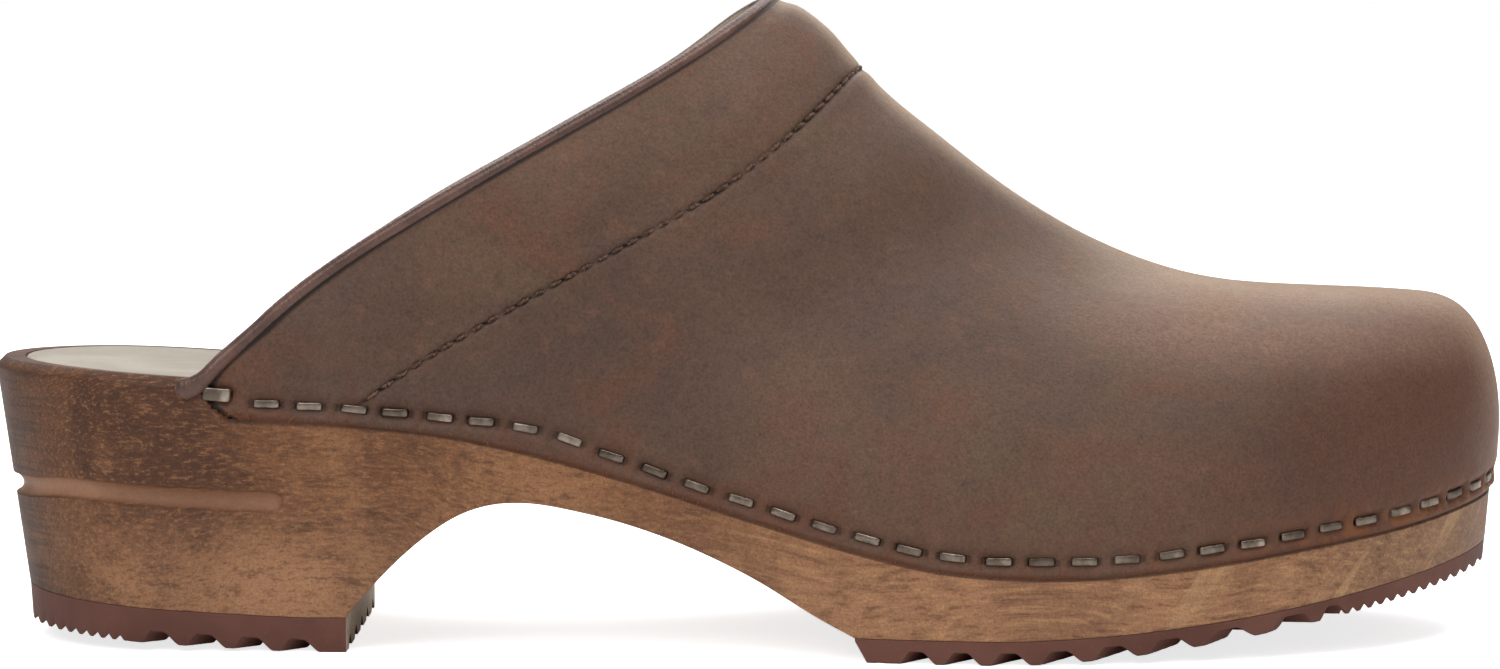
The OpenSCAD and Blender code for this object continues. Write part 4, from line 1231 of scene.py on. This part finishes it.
def leather_material():
    """Oiled nubuck: mottled brown with a fine nap, painted lighter where it faces up, with a painted sheen at
    low angles and a painted highlight on the toe's upper flank.
    """
    s = Shader("oiled_nubuck")
    patch = s.noise(48, 5, 0.6, warp=0.9)
    other = s.noise(33, 4, 0.6, s.scaled(1, 1, 1.3, turn=(1.1, 0.4, 0.8)), 0.8)
    spots = s.noise(230, 4, 0.6, warp=0.5)
    fine = s.noise(1900, 3, 0.65)
    reach = s.attribute("reach")
    up = s.facing()[2]
    # mottling
    s.base(s.noise(21, 3, 0.5, warp=0.6), 0.36, 0.64, (84, 62, 50), (99, 73, 58))
    s.paint(s.span(patch, 0.5, 0.7, 0, 0.5), 106, 69, 50)
    s.paint(s.span(other, 0.52, 0.7, 0, 0.5), 78, 62, 53)
    s.paint(s.span(other, 0.46, 0.3, 0, 0.4), 98, 80, 58)
    s.paint(s.span(spots, 0.55, 0.75, 0, 0.4), 118, 80, 61)
    s.paint(s.span(spots, 0.42, 0.28, 0, 0.3), 72, 56, 52)
    # redder near the rim and darker round the toe
    s.paint(s.times(s.span(reach, 34, 2, 0, 0.4), s.span(patch, 0.4, 0.6)), 100, 64, 50)
    s.paint(s.times(s.span(s.x, 0.07, 0.13, 0, 0.85), s.span(s.z, 0.062, 0.045)), 88, 55, 42)
    # painted light: paler where it faces up, and a painted sheen where it is seen at a low angle
    s.paint(s.times(s.span(up, 0.7, 1.0), s.line(patch, 0.3, 0.7, 0.2, 0.4)), 124, 98, 80)
    # painted sheen at low angles, stronger on faces that point up
    grazing_sheen = s.node("LayerWeight", {"Blend": 0.5}).outputs["Facing"]
    s.paint(s.times(s.span(grazing_sheen, 0.5, 0.92, 0, 0.72), s.span(up, -0.2, 0.5, 0.15, 1.0)), 180, 155, 131)
    # redder at the very tip of the toe
    s.paint(s.span(s.x, 0.128, 0.139, 0, 0.5), 104, 66, 50)
    # painted highlight on the upper flank of the toe
    flank_highlight = s.times(s.times(s.span(s.z, 0.048, 0.058), s.span(s.z, 0.070, 0.062)), s.span(s.x, 0.045, 0.080))
    s.paint(s.times(flank_highlight, s.span(patch, 0.3, 0.7, 0.3, 0.5)), 146, 112, 92)
    s.shade(s.times(s.line(fine, 0.3, 0.72, 0.72, 1.26), s.line(s.noise(640, 3, 0.6), 0.3, 0.7, 0.9, 1.1)))
    # painted shade along the seam's groove and in the stitch holes, a darker red-brown round the staples, and
    # painted shade in the staple slots
    s.paint(s.times(s.attribute("seam"), 0.3), 58, 40, 32)
    s.paint(s.span(s.attribute("holes"), 0.2, 0.7), 16, 10, 8)
    s.paint(s.times(s.attribute("staple"), 0.35), 78, 52, 42)
    # painted shade in the slots at the staple ends
    s.paint(s.span(s.attribute("slot"), 0.3, 0.9, 0, 0.62), 48, 31, 24)
    # rust-brown lower edge, and painted shade in the fold beside the piping
    rust = s.times(s.span(reach, 10, 1), s.span(s.x, 0.06, 0.12, 0.15, 1.0))
    s.paint(s.times(rust, s.span(spots, 0.4, 0.6, 0.2, 0.9)), 120, 74, 44)
    s.paint(s.times(s.span(reach, 1.1, 0.3), s.span(spots, 0.35, 0.6, 0.5, 0.95)), 92, 52, 31)
    # painted shade: a dark line in the fold between the leather and the piping
    s.paint(s.span(s.attribute("place"), 0.0046, 0.0022, 0, 0.95), 26, 16, 13)
    bump = s.bump(s.plus(s.times(fine, 0.6), s.times(s.cells(1700), 0.35)), 0.00016, 0.6)
    bump = s.bump(s.noise(170, 4, 0.6), 0.0006, 0.4, bump)
    return s.done(rough=s.line(patch, 0.35, 0.7, 0.52, 0.66), normal=bump, sheen=0.14, sheen_rough=0.4,
                  sheen_tint=rgb(235, 210, 185), specular=0.27)


def flesh_material():
    """Rough inner side of the leather."""
    s = Shader("leather_flesh_side")
    nap = s.noise(700, 5, 0.7)
    s.base(s.noise(40, 4), 0.35, 0.65, (132, 102, 80), (156, 124, 98))
    s.paint(s.span(nap, 0.4, 0.7, 0, 0.4), 108, 82, 64)
    return s.done(rough=0.9, normal=s.bump(nap, 0.0005, 0.8), sheen=0.3, sheen_rough=0.6, specular=0.2)


def edge_material():
    """Cut edge of the leather: dark and fibrous."""
    s = Shader("leather_cut_edge")
    layers = s.noise(500, 4, 0.6, s.scaled(0.4, 0.4, 2.5))
    s.base(layers, 0.35, 0.65, (58, 34, 22), (104, 66, 42))
    return s.done(rough=0.85, normal=s.bump(layers, 0.0004, 0.8), specular=0.25)


def fibre_material():
    """Loose rust-brown leather fibres."""
    s = Shader("leather_fibres")
    s.base(s.noise(600, 2, 0.5), 0.35, 0.65, (96, 56, 34), (150, 96, 60))
    return s.done(rough=0.85, specular=0.2)


def lining_material():
    """Smooth, matt lining leather with a light creasing."""
    s = Shader("collar_lining_leather")
    cells = s.cells(520)
    s.base(s.noise(50, 4, 0.6, warp=0.4), 0.35, 0.68, (150, 121, 95), (176, 147, 118))
    s.paint(s.span(cells, 0.5, 0.9, 0, 0.25), 120, 92, 70)
    bump = s.bump(s.noise(120, 4, 0.6, warp=0.8), 0.0008, 0.35, s.bump(cells, 0.00035, 0.5))
    return s.done(rough=0.5, normal=bump, specular=0.4)


def piping_material():
    """Smooth reddish-brown piping leather with fine cross wrinkles, pale on the side towards the foot."""
    s = Shader("piping_leather")
    wrinkle = s.noise(1.7, 3, 0.6, s.vector(s.attribute("run"), s.times(s.z, 260), s.times(s.y, 160)))
    s.base(s.noise(90, 4, 0.6), 0.35, 0.65, (79, 51, 41), (104, 71, 58))
    s.paint(s.span(wrinkle, 0.45, 0.3, 0, 0.5), 62, 38, 31)
    inward = s.times(s.facing()[1], s.line(s.y, 0.0, 0.008, 1.0, -1.0))
    s.paint(s.span(s.times(inward, s.span(s.z, 0.055, 0.075)), 0.35, 0.65, 0, 0.85), 182, 166, 144)
    bump = s.bump(s.noise(1200, 3, 0.6), 0.00015, 0.4, s.bump(wrinkle, 0.0005, 0.55))
    return s.done(rough=0.36, normal=bump, specular=0.5, coat=0.12, coat_rough=0.3)


def wood_material():
    """Stained close-grained wood: flecked dark brown at the heel, golden at the ball, greyer at the toe."""
    s = Shader("stained_wood")
    bend = s.times(s.math("SUBTRACT", s.noise(9, 2, 0.5), 0.5), 0.04)
    bent = s.vector(s.x, s.plus(s.y, bend), s.plus(s.z, bend))
    band = s.noise(62, 4, 0.6, s.scaled(0.5, 0.9, 0.22, bent, (0, -0.5, 0)), 0.6)
    dash = s.noise(1650, 4, 0.72, s.scaled(0.3, 0.9, 1.0, bent, (0, 0.06, 0)))
    long_dash = s.noise(420, 5, 0.72, s.scaled(0.22, 0.9, 1.0, bent, (0, 0.1, 0)), 0.2)
    streak = s.noise(820, 4, 0.66, s.scaled(0.05, 0.9, 1.0, bent, (0, 0.03, 0)), 0.1)
    fibre = s.noise(1500, 3, 0.6, s.scaled(0.10, 1, 1, bent))
    blotch = s.noise(34, 6, 0.68, warp=0.6)
    pool = s.noise(105, 6, 0.7, s.scaled(0.55, 1, 1, turn=(0, 0.45, 0)), 0.3)
    # how far along the sole the flecks give way to long grain; neither shows on the ends
    side_on = s.span(s.math("ABSOLUTE", s.facing()[0]), 0.95, 0.5, 0.35, 1.0)
    far = s.span(s.x, -0.045, 0.035)
    flecked = s.times(s.math("SUBTRACT", 1.0, s.times(far, 0.75)), side_on)
    long_grain = s.times(far, side_on)
    # share of the warm tone
    low_heel = s.times(s.span(s.z, 0.034, 0.008), s.span(s.x, -0.14, -0.085, 0.35, 0.98))
    waist = s.span(s.x, -0.10, -0.04, 0, 0.8)
    ball = s.times(s.span(s.x, -0.035, 0.030), s.span(s.x, 0.135, 0.070, 0.5, 0.95))
    share = s.math("MAXIMUM", s.math("MAXIMUM", low_heel, waist), ball)
    share = s.plus(share, s.line(pool, 0.32, 0.7, -0.3, 0.34))
    share = s.math("MAXIMUM", s.math("MINIMUM", share, 1.0), 0.0)
    s.base(band, 0.38, 0.62, (82, 50, 32), (114, 74, 47))
    dark = s.color
    s.base(band, 0.38, 0.62, (131, 88, 58), (161, 114, 78))
    s.color = s.mix(share, dark, s.color)
    s.paint(s.times(low_heel, 0.3), 178, 136, 108)
    s.paint(s.span(s.x, -0.110, -0.136, 0, 0.5), 68, 42, 29)
    s.paint(s.span(s.x, 0.085, 0.125, 0, 0.5), 126, 101, 80)
    # stain pools and flecks of several lengths
    calm = s.span(s.x, -0.04, 0.03, 1.0, 0.3)
    s.paint(s.times(s.span(blotch, 0.53, 0.66, 0, 0.45), calm), 72, 46, 33)
    s.paint(s.times(s.span(long_dash, 0.53, 0.66, 0, 0.5), calm), 66, 42, 30)
    s.paint(s.times(s.span(dash, 0.51, 0.64, 0, 0.42), flecked), 64, 40, 27)
    s.paint(s.times(s.span(dash, 0.48, 0.36, 0, 0.42), flecked), 168, 121, 82)
    s.paint(s.times(s.span(streak, 0.52, 0.64, 0, 0.5), long_grain), 88, 57, 38)
    s.paint(s.times(s.span(streak, 0.48, 0.36, 0, 0.5), long_grain), 190, 144, 100)
    # slanting rays at the toe, saw marks at the back
    slant = s.vector(s.plus(s.x, s.times(s.z, -0.7)), s.times(s.y, 0.3), s.times(s.z, 0.08))
    ray = s.span(s.noise(240, 3, 0.55, slant), 0.55, 0.68, 0, 0.55)
    s.paint(s.times(ray, s.span(s.x, 0.05, 0.09)), 184, 146, 106)
    saw = s.span(s.noise(900, 2, 0.5, s.scaled(0.05, 0.05, 1)), 0.5, 0.62, 0, 0.5)
    s.paint(s.times(saw, s.span(s.x, -0.120, -0.134)), 48, 31, 23)
    # painted shadow under the leather, and the groove's paler colour: partly the lighter cut wood, partly
    # painted light where the cove's lower half faces up
    s.paint(s.span(s.attribute("ledge"), 0.5, 1.0, 0, 0.72), 58, 33, 21)
    cove = s.attribute("cove")
    below = s.color
    s.base(band, 0.4, 0.6, (150, 108, 82), (172, 130, 103))
    s.paint(s.span(s.x, -0.105, -0.08, 0, 0.4), 146, 104, 80)
    s.color = s.mix(s.times(cove, 0.75), below, s.color)
    s.shade(s.line(s.noise(2300, 2, 0.6), 0.32, 0.7, 0.78, 1.2), s.math("SUBTRACT", 1.0, s.times(cove, 0.6)))
    bump = s.bump(s.plus(s.times(fibre, 0.7), s.times(dash, 0.5)), 0.0003, 0.5)
    return s.done(rough=s.line(blotch, 0.3, 0.7, 0.44, 0.58), normal=bump, specular=0.28)


def suede_material():
    """Pale grey-taupe suede of the insole."""
    s = Shader("insole_suede")
    nap = s.noise(1100, 5, 0.75)
    s.base(s.noise(34, 4, 0.6, warp=0.6), 0.35, 0.66, (168, 158, 142), (190, 181, 165))
    s.paint(s.span(nap, 0.42, 0.7, 0, 0.3), 158, 147, 131)
    return s.done(rough=0.92, normal=s.bump(nap, 0.0004, 0.7), sheen=0.35, sheen_rough=0.5, specular=0.2)


def rubber_material():
    """Matt reddish-brown rubber with fine pale specks, and painted light on the heel tread's front end."""
    s = Shader("tread_rubber")
    s.base(s.noise(55, 3, 0.5), 0.35, 0.65, (94, 57, 46), (110, 70, 58))
    s.paint(s.span(s.cells(900), 0.16, 0.08, 0, 0.25), 140, 108, 94)
    # painted light: the heel tread's front face is painted pale, as if brightly lit
    cut = s.times(s.span(s.facing()[0], 0.75, 0.9), s.span(s.x, (BREAST_X - 1) * MM, (BREAST_X - 0.5) * MM))
    cut = s.times(cut, s.span(s.x, 0.0, -0.05))
    s.paint(s.times(cut, s.span(s.noise(400, 4, 0.6), 0.3, 0.6, 0.75, 1.0)), 206, 190, 166)
    return s.done(rough=0.62, normal=s.bump(s.noise(800, 4, 0.6), 0.0002, 0.5), specular=0.35)


def steel_material():
    """Drawn staple wire, a little scratched, duller on some staples."""
    s = Shader("staple_steel")
    scratch = s.noise(900, 3, 0.6, s.scaled(0.12, 1, 1))
    s.base(s.noise(300, 3), 0.35, 0.7, (112, 99, 88), (172, 158, 144))
    s.paint(s.times(s.attribute("dull"), 0.65), 70, 58, 50)
    return s.done(metal=1.0, rough=s.line(scratch, 0.3, 0.7, 0.2, 0.42), normal=s.bump(scratch, 0.0001, 0.35))


def thread_material():
    """Waxed dark-brown thread."""
    s = Shader("waxed_thread")
    fibre = s.noise(1500, 3, 0.6)
    s.base(fibre, 0.35, 0.65, (58, 39, 30), (112, 82, 64))
    return s.done(rough=0.5, normal=s.bump(fibre, 0.0001, 0.5), specular=0.45)


def foam_material(name, light, deep, scale):
    """Open-cell foam and other hidden stuffing."""
    s = Shader(name)
    cell = s.cells(scale)
    s.base(cell, 0.2, 0.7, light, deep)
    return s.done(rough=0.9, normal=s.bump(cell, 0.0005, 0.6), specular=0.2)


# ---- CAD nodes that stay
def dress(node, material):
    """Gives a CAD node its material."""
    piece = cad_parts[node]
    for slot in piece.material_slots:
        slot.material = material
    if not piece.material_slots:
        piece.data.materials.append(material)


# ---- floor, light and camera
WHITE = (1, 1, 1, 1)
FLOOR_GREY = 0.86
FLOOR_GLOW = 0.76
WALL_FAR = 9.0
WALL_SIDES = 64
WORLD_LIGHT = 0.34
# name, place, aim, size, power
LIGHTS = [("top_softbox", (0.38, -0.28, 1.1), (0.05, 0, 0.05), (0.7, 0.5), 6.4),
          ("back_softbox", (0.0, 0.75, 0.95), (0, 0, 0.05), (1.6, 0.8), 9.5),
          ("front_fill", (-0.6, -1.3, 1.15), (0, 0, 0.05), (1.1, 0.8), 11)]
CAMERA_PLACE = (0.00609, -0.89956, 0.12203)
CAMERA_TURN = (math.pi / 2 - 0.07409, 0.00045, 0.0067)
LENS = 116.0
SENSOR = 36


def stage_mesh(name, points, faces, material):
    """Puts a mesh, given in metres, on the stage instead of in the model."""
    mesh = bpy.data.meshes.new(name)
    mesh.from_pydata(points.tolist(), [], faces)
    mesh.materials.append(material)
    stage = link(name, mesh)
    return stage


def make_backdrop():
    """Pale floor, and a far round wall that only the camera sees."""
    floor = Shader("studio_floor")
    glow = floor.times(floor.node("LightPath").outputs["Is Camera Ray"], FLOOR_GLOW)
    grey = (FLOOR_GREY, FLOOR_GREY, FLOOR_GREY, 1)
    floor.done(color=grey, rough=0.9, specular=0.1, glow=glow, glow_color=WHITE)
    wall = Shader("studio_wall")
    wall.done(color=(0, 0, 0, 1), rough=1.0, specular=0.0, glow=1.0, glow_color=WHITE)
    turn = round_sides(WALL_SIDES)
    ring = WALL_FAR * np.stack([np.cos(turn), np.sin(turn), 0 * turn], -1)
    stage_mesh("studio_floor", ring, [list(range(WALL_SIDES))], floor.material)
    both = np.concatenate([ring, ring + [0, 0, WALL_FAR]])
    backdrop = stage_mesh("studio_wall", both, sheet_faces(2, WALL_SIDES, wrap=True).tolist(), wall.material)
    backdrop.visible_diffuse = False
    backdrop.visible_glossy = False
    backdrop.visible_shadow = False


def make_light(name, place, target, size, power):
    light = bpy.data.lights.new(name, "AREA")
    light.shape = "RECTANGLE"
    light.size, light.size_y = size
    light.energy = power
    lamp = link(name, light)
    lamp.location = place
    lamp.rotation_euler = (Vector(target) - Vector(place)).to_track_quat("-Z", "Y").to_euler()


def make_world():
    world = bpy.data.worlds.new("studio_world")
    world.use_nodes = True
    background = world.node_tree.nodes["Background"]
    background.inputs[0].default_value = WHITE
    background.inputs[1].default_value = WORLD_LIGHT
    bpy.context.scene.world = world


def make_camera():
    data = bpy.data.cameras.new("camera")
    data.sensor_width = SENSOR
    data.lens = LENS
    data.clip_start = 0.05
    data.clip_end = 50
    camera = link("camera", data)
    camera.location = CAMERA_PLACE
    camera.rotation_euler = CAMERA_TURN
    bpy.context.scene.camera = camera


make_wooden_sole(wood_material())
make_insole(suede_material())
make_vamp(leather_material(), flesh_material(), edge_material())
make_lining(lining_material())
make_piping(piping_material(), foam_material("piping_cord", (222, 216, 202), (180, 172, 156), 1500))
make_stitches(thread_material())
make_staples(steel_material())
make_treads(rubber_material())
make_fibres(fibre_material())
dress("insole_foam", foam_material("insole_foam", (196, 178, 140), (160, 140, 104), 900))
dress("toe_puff", foam_material("toe_stiffener", (206, 192, 160), (180, 160, 128), 500))
dress("collar_padding", foam_material("collar_foam", (226, 220, 200), (190, 182, 160), 1100))
make_backdrop()
make_world()
for light in LIGHTS:
    make_light(*light)
make_camera()
scene = bpy.context.scene
scene.view_settings.view_transform = "Standard"
scene.view_settings.look = "None"
